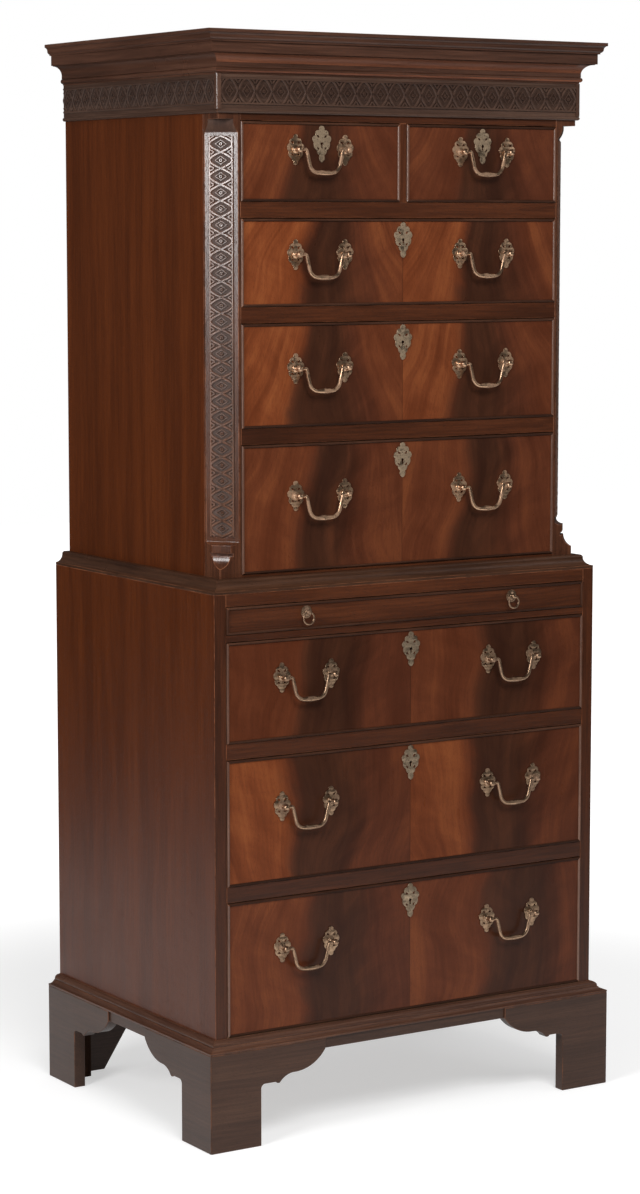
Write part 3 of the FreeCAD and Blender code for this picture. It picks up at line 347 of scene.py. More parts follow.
# %% The grain group
def build_grain():
    takes = {"Board": "Vector", "Bands": 1.0}
    bench, given = group("board_grain", takes, ("Band", "Streak", "Pore", "Height"))
    wander = bench.cloud(given["Board"], (3, 9, 9), detail=2.0)
    shift = bench.gather(0.0, wander * 0.02, 0.0)
    bent = bench.lay("ShaderNodeVectorMath", given["Board"], shift, operation="ADD")
    band = bench.cloud(bent, (1.6, 26, 26), detail=4.0, rough=0.6)
    fine = bench.cloud(bent, (9, 330, 330), rough=0.7)
    dash = bench.cloud(bent, (160, 1900, 1900), detail=1.0)
    pore = bench.between(dash, 0.60, 0.68)
    return bench.give(
        Band=bench.between(band, 0.28, 0.72) * given["Bands"],
        Streak=bench.between(fine, 0.30, 0.70),
        Pore=pore,
        Height=fine * 0.3 - pore,
    )


# %% [markdown]
# ## Two and a half centuries of polish
#
# A hand-waxed polish is never even: it is duller in patches, and worn through to paler wood on
# the edges. The edge mask reads the `rubbed` number that a later cell writes on every softened
# edge, and breaks it up with a cloud so that the wear isn't a neat line.

# %% The polish and edge-wear groups
UNEVEN = 0.24  # how far the roughness drifts


def build_polish():
    bench, given = group("waxed_polish", {"Place": "Vector", "Shine": 0.3}, ("Roughness",))
    patch = bench.cloud(given["Place"], (5, 5, 5), detail=5.0, rough=0.6, twist=0.4)
    smear = bench.cloud(given["Place"], (40, 40, 9), detail=2.0)
    drift = patch * 0.7 + smear * 0.3 - 0.5
    return bench.give(Roughness=(given["Shine"] + drift * UNEVEN).held())


def build_edge_wear():
    bench, given = group("edge_wear", {"Place": "Vector", "Amount": 1.0}, ("Worn",))
    broken = bench.cloud(given["Place"], (28, 28, 28), detail=4.0, rough=0.7)
    patchy = bench.between(broken, 0.38, 0.62)
    return bench.give(Worn=(bench.number("rubbed") * patchy * given["Amount"]).held())


grain_tree, polish_tree, wear_tree = build_grain(), build_polish(), build_edge_wear()
print("groups", [tree.name for tree in bpy.data.node_groups])

# %% [markdown]
# ## The mahogany
#
# Old mahogany is a deep brown red, near black in the bands and orange where it is worn. The
# parts are cut from the same timber but take the light differently, so one recipe makes many
# tones of it. The `tone` number changes the colour a little from board to board. On a fret,
# `sunk` darkens the ground between the straps: painted shade, with the dust and old wax that sit there.

# %% The recipe for polished mahogany
WORN_WOOD = shade(150, 92, 60)


def start_finish(name):
    material = bpy.data.materials.new(name)
    material.use_nodes = True
    return material, Bench(material.node_tree)


def cover(bench, colour, rough, height, bump, depth, **others):
    """Feed the finish's own shader: colour, roughness, and bumps of some strength and depth."""
    shader = bench.tree.nodes["Principled BSDF"]
    normal = bench.lay("ShaderNodeBump", named={"Strength": bump, "Distance": depth, "Height": height})
    others = {label.replace("_", " "): value for label, value in others.items()}
    for label, value in {"Base Color": colour, "Roughness": rough, "Normal": normal, **others}.items():
        bench.feed(shader.inputs[label], value)


def darker(tone, share):
    return tuple(v * share for v in tone[:3]) + (1,)


def mahogany(name, dark, middle, light, shine=0.34, wear=0.8, gloss=0.25, bands=1.0, dusty=0.0):
    material, bench = start_finish(name)
    place = bench.object_place()
    grain = bench.use(grain_tree, Board=bench.vector("board"), Bands=bands)
    worn = bench.use(wear_tree, Place=place, Amount=wear)
    depth = (grain["Band"] * 0.62 + grain["Streak"] * 0.38 + bench.number("tone")).held()
    colour = bench.ramp(depth, (0.12, 0.5, 0.92), (dark, middle, light))
    colour = bench.tint(grain["Pore"] * 0.55, colour, darker(dark, 0.35))
    colour = bench.tint(worn * 0.65, colour, WORN_WOOD)
    rough = (bench.use(polish_tree, Place=place, Shine=shine) + worn * 0.15).held()
    # painted shade: the sunk ground between a fret's straps is darkened, with its dust and old wax
    if dusty:
        sunk = bench.number("sunk")
        colour = bench.tint(sunk * dusty, colour, darker(dark, 0.2))
        rough = (rough + sunk * 0.5).held()
    cover(bench, colour, rough, grain["Height"], 0.25, 0.00035, Specular_IOR_Level=gloss)
    return material


# Each wood: its dark, middle and light tone, and what differs from the usual polish.
WOODS = {
    "side": ((68, 30, 9), (81, 37, 12), (93, 45, 16), {"bands": 0.8}),
    "rail": ((50, 25, 13), (67, 34, 18), (86, 45, 24), {"bands": 0.9}),
    "moulding": ((44, 26, 17), (59, 37, 25), (76, 49, 34), {"shine": 0.30}),
    "cornice": ((54, 33, 23), (73, 46, 34), (92, 61, 46), {"shine": 0.30, "gloss": 0.35, "bands": 0.8}),
    "base": ((66, 42, 32), (84, 57, 44), (104, 74, 58), {"shine": 0.30, "wear": 0.5, "bands": 0.6}),
    "foot": ((58, 39, 30), (70, 48, 37), (84, 59, 45), {"wear": 0.45, "bands": 0.6}),
    "corner": ((58, 32, 20), (78, 45, 29), (96, 58, 38), {"shine": 0.24, "gloss": 0.5}),
    # the corner fret is lighter than the corner wood: partly painted highlight, for the left lamp's glow
    "fret": ((70, 46, 34), (94, 64, 49), (114, 80, 64), {"shine": 0.20, "gloss": 0.68, "dusty": 0.65}),
    "stile": ((52, 33, 24), (66, 44, 34), (82, 58, 46), {"shine": 0.26, "gloss": 0.7}),
    "frieze": ((54, 36, 28), (68, 48, 38), (84, 61, 49), {"shine": 0.36, "gloss": 0.4, "dusty": 0.28}),
    # a brighter red for the cornice's downward faces: painted light
    "cavetto": ((86, 48, 32), (112, 66, 45), (132, 80, 56), {}),
    "stop": ((60, 40, 31), (78, 55, 43), (94, 68, 54), {"shine": 0.62, "wear": 0.4, "gloss": 0.2}),
    # painted shade: the darker wood of the base frame under the chest, between the brackets
    "dull": ((40, 26, 18), (56, 37, 27), (70, 48, 36), {"shine": 0.85, "wear": 0.3, "gloss": 0.1}),
    "bead": ((42, 24, 16), (56, 33, 22), (78, 50, 36), {"shine": 0.52, "wear": 0.6, "gloss": 0.12}),
    # painted highlight: a paler copy of the bead wood for the upright beads, lit from the side
    "upright_bead": ((72, 48, 37), (94, 66, 53), (116, 86, 71), {"shine": 0.30, "wear": 1.0, "gloss": 0.6}),
}
wood = {}
for name, (*tones, differs) in WOODS.items():
    wood[name] = mahogany(name + "_mahogany", *(shade(*tone) for tone in tones), **differs)
print("mahogany finishes", len(wood))

# %% [markdown]
# ## Flame veneer
#
# The drawer fronts are faced with crotch veneer, sliced where a trunk forks. Each sheet has a
# dark plume up its middle and a bright orange flank at its left. Two sheets lie side by side on
# every long drawer, slipped and not turned, so the same plume comes twice. On most drawers the
# lines spread towards the foot, as the trunk did.
#
# Each front carries two attributes that a later cell writes: `leaf`, the place on the sheet,
# and `figure`, how that sheet was cut. The group reads both and gives out masks.

# %% The flame figure group
def build_flame():
    takes = {"Place": "Vector", "Middle": 0.5, "Half": 0.14, "Far": 0.5}
    bench, given = group("flame_figure", takes, ("Plume", "Flank", "Figure", "Seam"))
    leaf = bench.split(bench.vector("leaf"))
    cut = bench.split(bench.vector("figure"))
    height = bench.split(given["Place"])["Z"]
    across = bench.math("FRACT", leaf["X"])
    slip = bench.math("FLOOR", leaf["X"])
    # Each drawer reads its own part of the noise; its second leaf reads a place close by.
    flitch = leaf["Y"] * 5.7 + slip * 0.35
    lean = bench.cloud(bench.gather(across * 1.3, flitch, height * 6.0), detail=1.0)
    off = across + (lean - 0.5) * 0.30 - (given["Middle"] + cut["Y"])
    spread = cut["X"] * (0.5 - leaf["Z"]) + 1.0
    line = bench.math("DIVIDE", off, spread)
    broad = bench.cloud(bench.gather(line * 8.0, flitch, height * 4.0))
    fine = bench.cloud(bench.gather(line * 58.0, flitch, height * 7.0))
    bow = bench.math("POWER", bench.math("ABSOLUTE", line), 0.7) * 0.16
    barb = bench.cloud(bench.gather(line * 5.0, flitch, (height - bow) * 30.0), detail=4.0, twist=0.4)
    edge = line + ((broad - 0.5) * 0.12 + (barb - 0.5) * 0.10)
    right_end = given["Half"]
    left_end = right_end * -1.0
    left = bench.between(edge, left_end - 0.05, left_end + 0.04)
    right = bench.between(edge, right_end + 0.13, right_end - 0.09)
    near_flank = bench.between(edge, left_end + 0.02, left_end - 0.09)
    far_flank = bench.between(edge, right_end + 0.04, right_end + 0.24)
    flank = near_flank + far_flank * given["Far"]
    duller = 1.0 - slip * 0.22  # the second leaf is a little duller
    joint = bench.math("ABSOLUTE", leaf["X"] - 1.0)
    return bench.give(
        Plume=left * right,
        Flank=(flank * cut["Z"] * duller).held(),
        Figure=broad * 0.55 + barb * 0.25 + fine * 0.20,
        Seam=bench.between(joint, 0.0030, 0.0010),
    )


flame_tree = build_flame()


# %% The flame veneer itself
# Three tones of the bright flank, of the red wood beside the plume, and of the plume.
VENEER_TONES = (
    ((100, 47, 21), (122, 62, 31), (144, 80, 42)),
    ((68, 33, 19), (80, 41, 25), (96, 50, 29)),
    ((46, 24, 15), (58, 32, 20), (72, 40, 25)),
)
quarter = math.pi / 2


def flame_veneer(name, middle, half, far_light, gloss):
    material, bench = start_finish(name)
    place = bench.object_place()
    flame = bench.use(flame_tree, Place=place, Middle=middle, Half=half, Far=far_light)
    upright = bench.stretch(place, (1, 1, 1), turn=(0, quarter, 0))
    grain = bench.use(grain_tree, Board=upright, Bands=0.5)
    worn = bench.use(wear_tree, Place=place, Amount=0.5)
    figure = bench.between(flame["Figure"], 0.32, 0.70)
    flank, red, plume = (
        bench.ramp(figure, (0.0, 0.5, 1.0), [shade(*tone) for tone in tones]) for tones in VENEER_TONES
    )
    colour = bench.tint(flame["Flank"], red, flank)
    colour = bench.tint(flame["Plume"], colour, plume)
    colour = bench.tint(grain["Streak"] * 0.15, colour, shade(60, 30, 16))
    colour = bench.tint(grain["Pore"] * 0.3, colour, shade(24, 12, 8))
    colour = bench.tint(flame["Seam"] * 0.5, colour, shade(38, 20, 12))
    colour = bench.tint(worn * 0.5, colour, WORN_WOOD)
    rough = bench.use(polish_tree, Place=place, Shine=0.30)
    cover(bench, colour, rough, grain["Height"], 0.15, 0.0003, Specular_IOR_Level=gloss)
    return material


flame = {
    "upper": flame_veneer("upper_flame_veneer", 0.52, 0.13, 0.42, 0.22),
    "lower": flame_veneer("lower_flame_veneer", 0.55, 0.155, 0.04, 0.14),
}
print("veneers", list(flame))

# %% [markdown]
# ## The secondary wood
#
# What nobody was meant to see is oak and pine: backboards, drawer linings, runners and
# dustboards. It was planed but not polished, and has gone a dusty grey brown.

# %% The dry wood of linings and backboards
def dry_wood(name, *tones):
    material, bench = start_finish(name)
    place = bench.object_place()
    grain = bench.use(grain_tree, Board=bench.vector("board"))
    depth = (grain["Band"] * 0.5 + grain["Streak"] * 0.5 + bench.number("tone")).held()
    colour = bench.ramp(depth, (0.1, 0.5, 0.95), [shade(*tone) for tone in tones])
    dust = bench.between(bench.cloud(place, (3, 3, 3), detail=5.0), 0.40, 0.75)
    colour = bench.tint(dust * 0.35, colour, shade(150, 132, 110))
    colour = bench.tint(grain["Pore"] * 0.5, colour, shade(52, 38, 26))
    rough = bench.between(bench.cloud(place, (20, 20, 20)), 0.3, 0.7, 0.62, 0.82)
    cover(bench, colour, rough, grain["Height"], 0.4, 0.0006, Specular_IOR_Level=0.3)
    return material


back_wood = dry_wood("backboard_pine", (96, 70, 48), (122, 93, 66), (142, 112, 82))
lining_wood = dry_wood("lining_oak", (112, 84, 56), (142, 110, 76), (162, 130, 94))
print("dry woods", back_wood.name, lining_wood.name)

# %% [markdown]
# ## Old brass
#
# The lacquer went, the brass browned, and polishing only reached what stands proud, so rims are
# pale. A cloud decides where tarnish sits, and the same cloud makes it rougher. The brass of the
# lower case has all its tones darker: painted shade.

# %% The brass finish
def build_tarnish():
    takes = {"Place": "Vector", "Amount": 0.5}
    bench, given = group("brass_tarnish", takes, ("Tarnish", "Speck", "Height"))
    broad = bench.cloud(given["Place"], (60, 60, 60), detail=4.0, rough=0.65)
    speck = bench.cloud(given["Place"], (420, 420, 420), detail=2.0, rough=0.6)
    level = broad + (given["Amount"] - 0.5) * 0.6
    return bench.give(
        Tarnish=bench.between(level, 0.36, 0.64),
        Speck=bench.between(speck, 0.58, 0.66),
        Height=speck,
    )


tarnish_tree = build_tarnish()


def old_brass(name, amount, bright, dull, deep):
    material, bench = start_finish(name)
    place = bench.object_place()
    tarnish = bench.use(tarnish_tree, Place=place, Amount=amount)
    worn = bench.use(wear_tree, Place=place, Amount=1.0)
    left = (tarnish["Tarnish"] - worn * 0.6).held()
    colour = bench.tint(left, bright, dull)
    colour = bench.tint(tarnish["Speck"] * 0.6, colour, deep)
    rough = bench.between(left, 0.0, 1.0, 0.38, 0.62)
    metal = bench.between(left, 0.0, 1.0, 1.0, 0.55)
    cover(bench, colour, rough, tarnish["Height"], 0.3, 0.0002, Metallic=metal)
    return material


# How tarnished each part is, and its bright, dull and deep tone.
BRASS_TONES = {
    "rose": (0.42, (212, 176, 143), (160, 127, 101), (60, 46, 36)),
    "plate": (0.55, (210, 184, 154), (153, 132, 108), (50, 42, 34)),
    "handle": (0.42, (212, 174, 142), (162, 128, 103), (66, 52, 42)),
}
# the lower case's brass is a darker copy of the upper's: painted shade
BRASS_SHADE_LEVEL = {"upper": 1.0, "lower": 0.82}
brass = {}
for case, level in BRASS_SHADE_LEVEL.items():
    for part, (amount, *tones) in BRASS_TONES.items():
        tones = [shade(*(v * level for v in tone)) for tone in tones]
        brass[case, part] = old_brass(case + "_" + part + "_brass", amount, *tones)


def case_of(name):
    return "lower" if name.startswith(("lower", "slide")) else "upper"


print("materials", [material.name for material in bpy.data.materials])

# %% [markdown]
# ## Easing the edges
#
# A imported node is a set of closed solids, each listed as loose triangles, one solid after the
# other. A solid ends where all its edges have met their partners, which tells one board from
# the next. Each board is welded, its flat faces are joined up, and its sharp outer edges are
# rounded by about a millimetre at most. The rounding is marked `rubbed`, so that the polish can
# wear there. A board's grain follows its longest side, which gives the shader its `board`
# vector without any unwrapping.

# %% Find the boards in a node
SAME_PLACE = 100000  # corners that agree to a hundredth of a millimetre are one corner


def place_key(place):
    return tuple(round(v * SAME_PLACE) for v in place)


def boards_in(mesh):
    """First and last triangle of each closed solid."""
    waiting, first, found = {}, 0, []
    for face in mesh.polygons:
        ring = [place_key(mesh.vertices[index].co) for index in face.vertices]
        for one, two in zip(ring, ring[1:] + ring[:1]):
            if waiting.get((two, one)):
                waiting[(two, one)] -= 1
                if not waiting[(two, one)]:
                    del waiting[(two, one)]
            else:
                waiting[(one, two)] = waiting.get((one, two), 0) + 1
        if not waiting:
            found.append((first, face.index + 1))
            first = face.index + 1
    if first < len(mesh.polygons):
        found.append((first, len(mesh.polygons)))
    return found


def weld_board(mesh, first, last):
    """One solid of a node as its own bmesh, with its flat faces joined up."""
    work = bmesh.new()
    known = {}
    for face in mesh.polygons[first:last]:
        ring = []
        for index in face.vertices:
            place = mesh.vertices[index].co
            key = place_key(place)
            if key not in known:
                known[key] = work.verts.new(place)
            ring.append(known[key])
        if len(set(ring)) == 3 and not work.faces.get(ring):
            work.faces.new(ring)
    work.normal_update()
    bmesh.ops.dissolve_limit(work, angle_limit=math.radians(0.6), verts=work.verts, edges=work.edges)
    return work


# %% Round, tag and gather the boards
SHARP = math.radians(28)
SMOOTH = math.radians(48)
TONE_DRIFT = 0.09
BOARD_STEP = Vector((0.73, 0.41, 0.29)) * 1.618  # each board is cut from another part of the log


def bevel(work, edges, radius, segments):
    shape = {"profile": 0.5, "affect": "EDGES", "clamp_overlap": True}
    return bmesh.ops.bevel(work, geom=edges, offset=radius, segments=segments, **shape)["faces"]


def ease_edges(work, radius):
    """Round the sharp outer edges and mark the rounding as rubbed."""
    rubbed = work.faces.layers.float.new("rubbed")
    outer = [edge for edge in work.edges if edge.is_manifold and edge.calc_face_angle_signed(0) > SHARP]
    for face in bevel(work, outer, radius, 2):
        face[rubbed] = 1.0


def board_size(work):
    return [max(values) - min(values) for values in zip(*(vert.co for vert in work.verts))]


def tag_board(work, number):
    """Write the place along and across the board, and its own small change of tone."""
    board = work.verts.layers.float_vector.new("board")
    tone = work.verts.layers.float.new("tone")
    size = board_size(work)
    order = sorted(range(3), key=lambda axis: -size[axis])
    for vert in work.verts:
        vert[board] = Vector([vert.co[axis] for axis in order]) + BOARD_STEP * number
        vert[tone] = TONE_DRIFT * math.sin(number * 2.4)


def mesh_of(work, name):
    """The bmesh as a mesh; the bmesh is cleared away."""
    mesh = bpy.data.meshes.new(name)
    work.to_mesh(mesh)
    work.free()
    return mesh


def even_normals(mesh):
    """Let the flat faces keep their direction and the rounded edges turn between them."""
    mesh.polygons.foreach_set("use_smooth", [True] * len(mesh.polygons))
    mesh.set_sharp_from_angle(angle=SMOOTH)


def made_real(piece):
    """The mesh that an object and its modifiers make; the object is cleared away."""
    graph = bpy.context.evaluated_depsgraph_get()
    shape = piece.evaluated_get(graph)
    mesh = bpy.data.meshes.new_from_object(shape, preserve_all_data_layers=True, depsgraph=graph)
    bpy.data.objects.remove(piece)
    return mesh


def hand_over(piece, node):
    """The finished piece takes the node's place on its body."""
    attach(piece, body_of_node[node])
    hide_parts(node)


def dress(node, radius, finishes, choose=None):
    """A finished copy of a wooden node, board by board; `choose` gives each face its finish."""
    source = nodes[node].data
    gathered = bmesh.new()
    for number, (first, last) in enumerate(boards_in(source)):
        work = weld_board(source, first, last)
        ease_edges(work, radius)
        tag_board(work, number + len(node))
        if choose:
            choose(work)
        single = mesh_of(work, "board")
        gathered.from_mesh(single)
        bpy.data.meshes.remove(single)
    mesh = mesh_of(gathered, node)
    for finish in finishes:
        mesh.materials.append(finish)
    even_normals(mesh)
    piece = add_object(node + "_raw", mesh)
    steady = piece.modifiers.new("steady_normals", "WEIGHTED_NORMAL")
    steady.keep_sharp = True
    hand_over(add_object(node + "_finished", made_real(piece)), node)


# %% [markdown]
# ## The carcase
#
# What shows takes mahogany; boards inside and behind take the dry wood. A moulding keeps crisp
# arrises, a foot is kicked and rounded, a backboard was never touched.
#
# Four nodes need a second wood. The front edges of the lower sides are faced like the rails.
# The stops under the frieze take a greyer, rougher wood. The hollow at the foot of the cornice's
# front takes a brighter red where it looks down: painted light. Between the brackets the base
# frame takes a darker, duller wood: painted shade under the chest.

# %% Dress the carcase
EASE = 0.0007
MOULDING_EASE = 0.0005
CRISP_EASE = 0.0004
FOOT_EASE = 0.0011
DRY_EASE = 0.0003
CASE_FINISH = {
    "lower_sides": (EASE, "side"),
    "upper_sides": (EASE, "side"),
    "lower_rails": (EASE, "rail"),
    "upper_rails": (EASE, "rail"),
    "waist_moulding": (MOULDING_EASE, "moulding"),
    "base_moulding": (MOULDING_EASE, "base"),
    "cornice": (CRISP_EASE, "cornice"),
    "frieze": (CRISP_EASE, "frieze"),
    "canted_corners": (EASE, "corner"),
    "front_feet": (FOOT_EASE, "foot"),
    "rear_feet": (FOOT_EASE, "foot"),
}
DRY_FINISH = {
    "lower_back": back_wood,
    "upper_back": back_wood,
    "lower_boards": lining_wood,
    "upper_boards": lining_wood,
}
CAVETTO_TOP = 1.695
STOP_FOOT = 1.5785
BRACKET = 0.024  # how far the boards of the front feet reach inwards
feet_low, feet_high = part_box("front_feet")


def faces_where(test):
    """A chooser: the second finish goes to faces whose middle and direction pass the test."""
    def choose(work):
        for face in work.faces:
            face.material_index = int(test(face.calc_center_median(), face.normal))

    return choose


SECOND_WOOD = {
    "lower_sides": ("rail", lambda at, out: out.y < -0.7),
    # the stops under the frieze take a greyer, rougher wood
    "canted_corners": ("stop", lambda at, out: at.z > STOP_FOOT and out.y < 0.1),
    # the cornice's hollow, where it looks down, takes the brighter red: painted light
    "cornice": ("cavetto", lambda at, out: -0.95 < out.z < -0.15 and out.y < -0.15 and at.z < CAVETTO_TOP),
    # the base frame behind and between the brackets takes the darker wood: painted shade
    "base_frame": ("dull", lambda at, out: at.y > feet_low.y + BRACKET and abs(at.x) < feet_high.x - BRACKET),
}


def dress_mahogany(node, radius, name):
    finishes, choose = [wood[name]], None
    if node in SECOND_WOOD:
        other, test = SECOND_WOOD[node]
        finishes.append(wood[other])
        choose = faces_where(test)
    dress(node, radius, finishes, choose)


for node, (radius, name) in CASE_FINISH.items():
    dress_mahogany(node, radius, name)
for node, finish in DRY_FINISH.items():
    dress(node, DRY_EASE, [finish])
dress_mahogany("base_frame", EASE, "foot")
print("carcase pieces", len(CASE_FINISH) + len(DRY_FINISH) + 1)

# %% [markdown]
# ## Drawer fronts and the brushing slide
#
# A front is a mahogany board faced with flame veneer and edged with four strips of cock bead.
# Only the faces that look forward are veneer. The slide is plain mahogany. The upright beads
# take a paler, glossier wood than the level ones: painted highlight, for the light that falls on
# them from the side.
#
# Each row is one drawer's veneer: how many leaves, how much its lines spread towards the foot,
# how far its plume lies from the usual place, and how bright its flank is.

# %% Dress the drawers
VENEER, GROUND, BEAD, UPRIGHT = 0, 1, 2, 3
THIN = 0.01  # a bead is thinner than this
FRONT_EASE = 0.0006
LEAVES = {
    "short_drawer_left": (1, 0.6, -0.02, 0.36),
    "short_drawer_right": (1, 0.5, 0.00, 0.18),
    "upper_drawer_1": (2, 0.6, 0.01, 0.90),
    "upper_drawer_2": (2, 0.5, 0.00, 0.80),
    "upper_drawer_3": (2, 0.4, 0.00, 0.34),
    "lower_drawer_1": (2, 0.1, 0.00, 0.26),
    "lower_drawer_2": (2, -0.25, -0.02, 0.75),
    "lower_drawer_3": (2, 0.1, 0.06, 0.38),
}


def front_chooser(drawer):
    """For one drawer: a function that gives each face its wood and writes the veneer's numbers."""
    leaves, *cut = LEAVES[drawer]
    low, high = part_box(drawer + "_front")
    leaf_width = (high.x - low.x) / leaves
    number = list(LEAVES).index(drawer)

    def choose(work):
        leaf = work.verts.layers.float_vector.new("leaf")
        figure = work.verts.layers.float_vector.new("figure")
        for vert in work.verts:
            along, _, up = vert.co - low
            vert[leaf] = (along / leaf_width, number, up / (high.z - low.z))
            vert[figure] = cut
        size = board_size(work)
        ahead = min(vert.co.y for vert in work.verts)
        for face in work.faces:
            forward = face.normal.y < -0.9 and face.calc_center_median().y < ahead + 0.001
            if size[2] < THIN:
                face.material_index = BEAD
            elif size[0] < THIN:
                # upright beads take the paler wood: painted highlight
                face.material_index = UPRIGHT
            else:
                face.material_index = VENEER if forward else GROUND

    return choose


def slide_chooser(work):
    """The beads of the slide are told from its boards by their size."""
    size = board_size(work)
    for face in work.faces:
        face.material_index = int(min(size[0], size[2]) < THIN)


drawers = sorted(body for body in frame["bodies"] if "drawer" in body and "bail" not in body)
for drawer in drawers:
    finishes = [flame[case_of(drawer)], wood["rail"], wood["bead"], wood["upright_bead"]]
    dress(drawer + "_front", FRONT_EASE, finishes, front_chooser(drawer))
    dress(drawer + "_box", DRY_EASE, [lining_wood])
dress("slide_board", FRONT_EASE, [wood["rail"], wood["bead"]], slide_chooser)
print("drawers", drawers)

# %% [markdown]
# ## Blind frets
#
# The frieze and the canted corners carry a blind fret: thin mahogany, sawn into an interlaced
# band and glued to a plain ground. Two waving straps cross between two fillets, with a lozenge
# and a stud in each eye. One eye is modelled, and a Geometry Nodes tree lays it along a run as
# many times as it needs, as the sawyer traced one pattern again and again.

# %% One repeat of the fret
PROUD = 0.0026  # how far the fret stands off its ground
SINK = 0.0004  # how far it goes into the ground, so that no gap shows
# the ground between the straps is covered by a thin dark strip: painted shade
SHADE_STRIP_PROUD = 0.0002  # how far the dark ground between the straps stands off
WAVE_STEPS = 14


def circle(count):
    """Cosine and sine at even steps around a full turn."""
    return [(math.cos(math.tau * k / count), math.sin(math.tau * k / count)) for k in range(count)]


def run_at(points, index, closed=False):
    """The direction of a flat line at one of its points."""
    before = points[index - 1] if index or closed else points[0]
    after = points[(index + 1) % len(points)] if index < len(points) - 1 or closed else points[-1]
    return Vector((after[0] - before[0], after[1] - before[1])).normalized()


def bridge(work, rings, around=False, capped=False):
    """Faces from ring to ring. A ring may be a single point; the last ring may lead to the first."""
    for one, two in zip(rings, rings[1:] + rings[:1] if around else rings[1:]):
        count = max(len(one), len(two))
        for side in range(count):
            after = (side + 1) % count
            places = ((one, side), (one, after), (two, after), (two, side))
            work.faces.new(list(dict.fromkeys(ring[at % len(ring)] for ring, at in places)))
    if capped:
        work.faces.new(rings[0][::-1])
        work.faces.new(rings[-1])


def lay_strap(work, points, width, proud, closed=False):
    """A strap with eased top edges along flat points (x, z); the ground is y = 0, outward is -y.

    Its number `sunk` is 1 on the ground and 0 on the top of the straps.
    """
    sunk = work.verts.layers.float.get("sunk") or work.verts.layers.float.new("sunk")
    shoulder = proud * 0.55
    section = ((1, -SINK), (1, shoulder), (0.5, proud), (-0.5, proud), (-1, shoulder), (-1, -SINK))
    rings = []
    for index, (x, z) in enumerate(points):
        run = run_at(points, index, closed)
        side = Vector((-run.y, run.x)) * (width / 2)
        ring = []
        for share, out in section:
            vert = work.verts.new((x + side.x * share, -out, z + side.y * share))
            vert[sunk] = 1 - max(out, 0) / PROUD
            ring.append(vert)
        rings.append(ring)
    bridge(work, rings, around=closed, capped=not closed)


def fret_repeat(name, length, rise, strap):
    """One eye: two straps that meet at its ends, a lozenge, a stud, half spurs and two fillets."""
    work = bmesh.new()
    for sign, proud in ((1, PROUD), (-1, PROUD * 0.9)):
        turns = [math.pi * k / WAVE_STEPS for k in range(WAVE_STEPS + 1)]
        wave = [(length * k / WAVE_STEPS, sign * rise * math.sin(turn)) for k, turn in enumerate(turns)]
        lay_strap(work, wave, strap, proud)
        lay_strap(work, [(0, sign * rise), (length, sign * rise)], strap * 0.8, PROUD * 0.95)
    # a thin strip over the ground between the straps, dark by its sunk number: painted shade
    lay_strap(work, [(0, 0), (length, 0)], 2 * rise + strap, SHADE_STRIP_PROUD)
    middle, wide, tall = length / 2, length * 0.24, rise * 0.50
    diamond = [(middle - wide, 0), (middle, -tall), (middle + wide, 0), (middle, tall)]
    lay_strap(work, diamond, strap * 0.7, PROUD * 0.8, closed=True)
    stud = [(middle + strap * 0.45 * c, strap * 0.45 * s) for c, s in circle(6)]
    lay_strap(work, stud, strap * 0.6, PROUD, closed=True)
    reach = length * 0.16
    for start, sign_x in ((0, 1), (length, -1)):
        for sign in (-1, 1):
            spur = [(start + sign_x * reach * t, sign * rise * (0.60 + 0.36 * t)) for t in (0.06, 0.5, 1)]
            lay_strap(work, spur, strap * 0.7, PROUD * 0.85)
    bmesh.ops.recalc_face_normals(work, faces=work.faces)
    return mesh_of(work, name)


# %% Trees that lay a pattern again and again
GEOMETRY = (("Laid",), "Geometry", "GeometryNodeTree")


def give_laid(bench, given, points, pattern):
    """End a tree: the pattern at its points, made real and given its finish."""
    laid = bench.lay("GeometryNodeInstanceOnPoints", named={"Points": points, "Instance": pattern})
    real = bench.lay("GeometryNodeRealizeInstances", laid)
    named = {"Geometry": real, "Material": given["Finish"]}
    return bench.give(Laid=bench.lay("GeometryNodeSetMaterial", named=named))


def build_run():
    """The piece itself, laid along X in even steps."""
    takes = {"Pattern": "Geometry", "Times": "Int", "Step": "Float", "Finish": "Material"}
    bench, given = group("pattern_run", takes, *GEOMETRY)
    step = bench.gather(given["Step"], None, None)
    line = bench.lay("GeometryNodeMeshLine", named={"Count": given["Times"], "Offset": step})
    return give_laid(bench, given, line, given["Pattern"])


def lay_again(piece, name, tree, **inputs):
    """Run the tree on the piece and hand back the plain result; inputs go by their identifiers."""
    modifier = piece.modifiers.new("again", "NODES")
    modifier.node_group = tree
    for item in tree.interface.items_tree:
        if item.in_out == "INPUT" and item.name in inputs:
            modifier[item.identifier] = inputs[item.name]
    return add_object(name, made_real(piece))


run_tree = build_run()


def fret_run(name, length, eye, width, strap, finish, place):
    """A whole run of fret, laid along X and then put in its place."""
    times = max(1, round(length / eye))
    step = length / times
    pattern = add_object(name + "_raw", fret_repeat(name + "_repeat", step, (width - strap) / 2, strap))
    run = lay_again(pattern, name, run_tree, Times=times, Step=step, Finish=finish)
    board = run.data.attributes.new("board", "FLOAT_VECTOR", "POINT")
    board.data.foreach_set("vector", [number for vert in run.data.vertices for number in vert.co])
    run.data.transform(Matrix.Translation((-length / 2, 0, 0)))
    run.data.transform(place)
    print(name, "repeats", times, "faces", len(run.data.polygons))
    return run


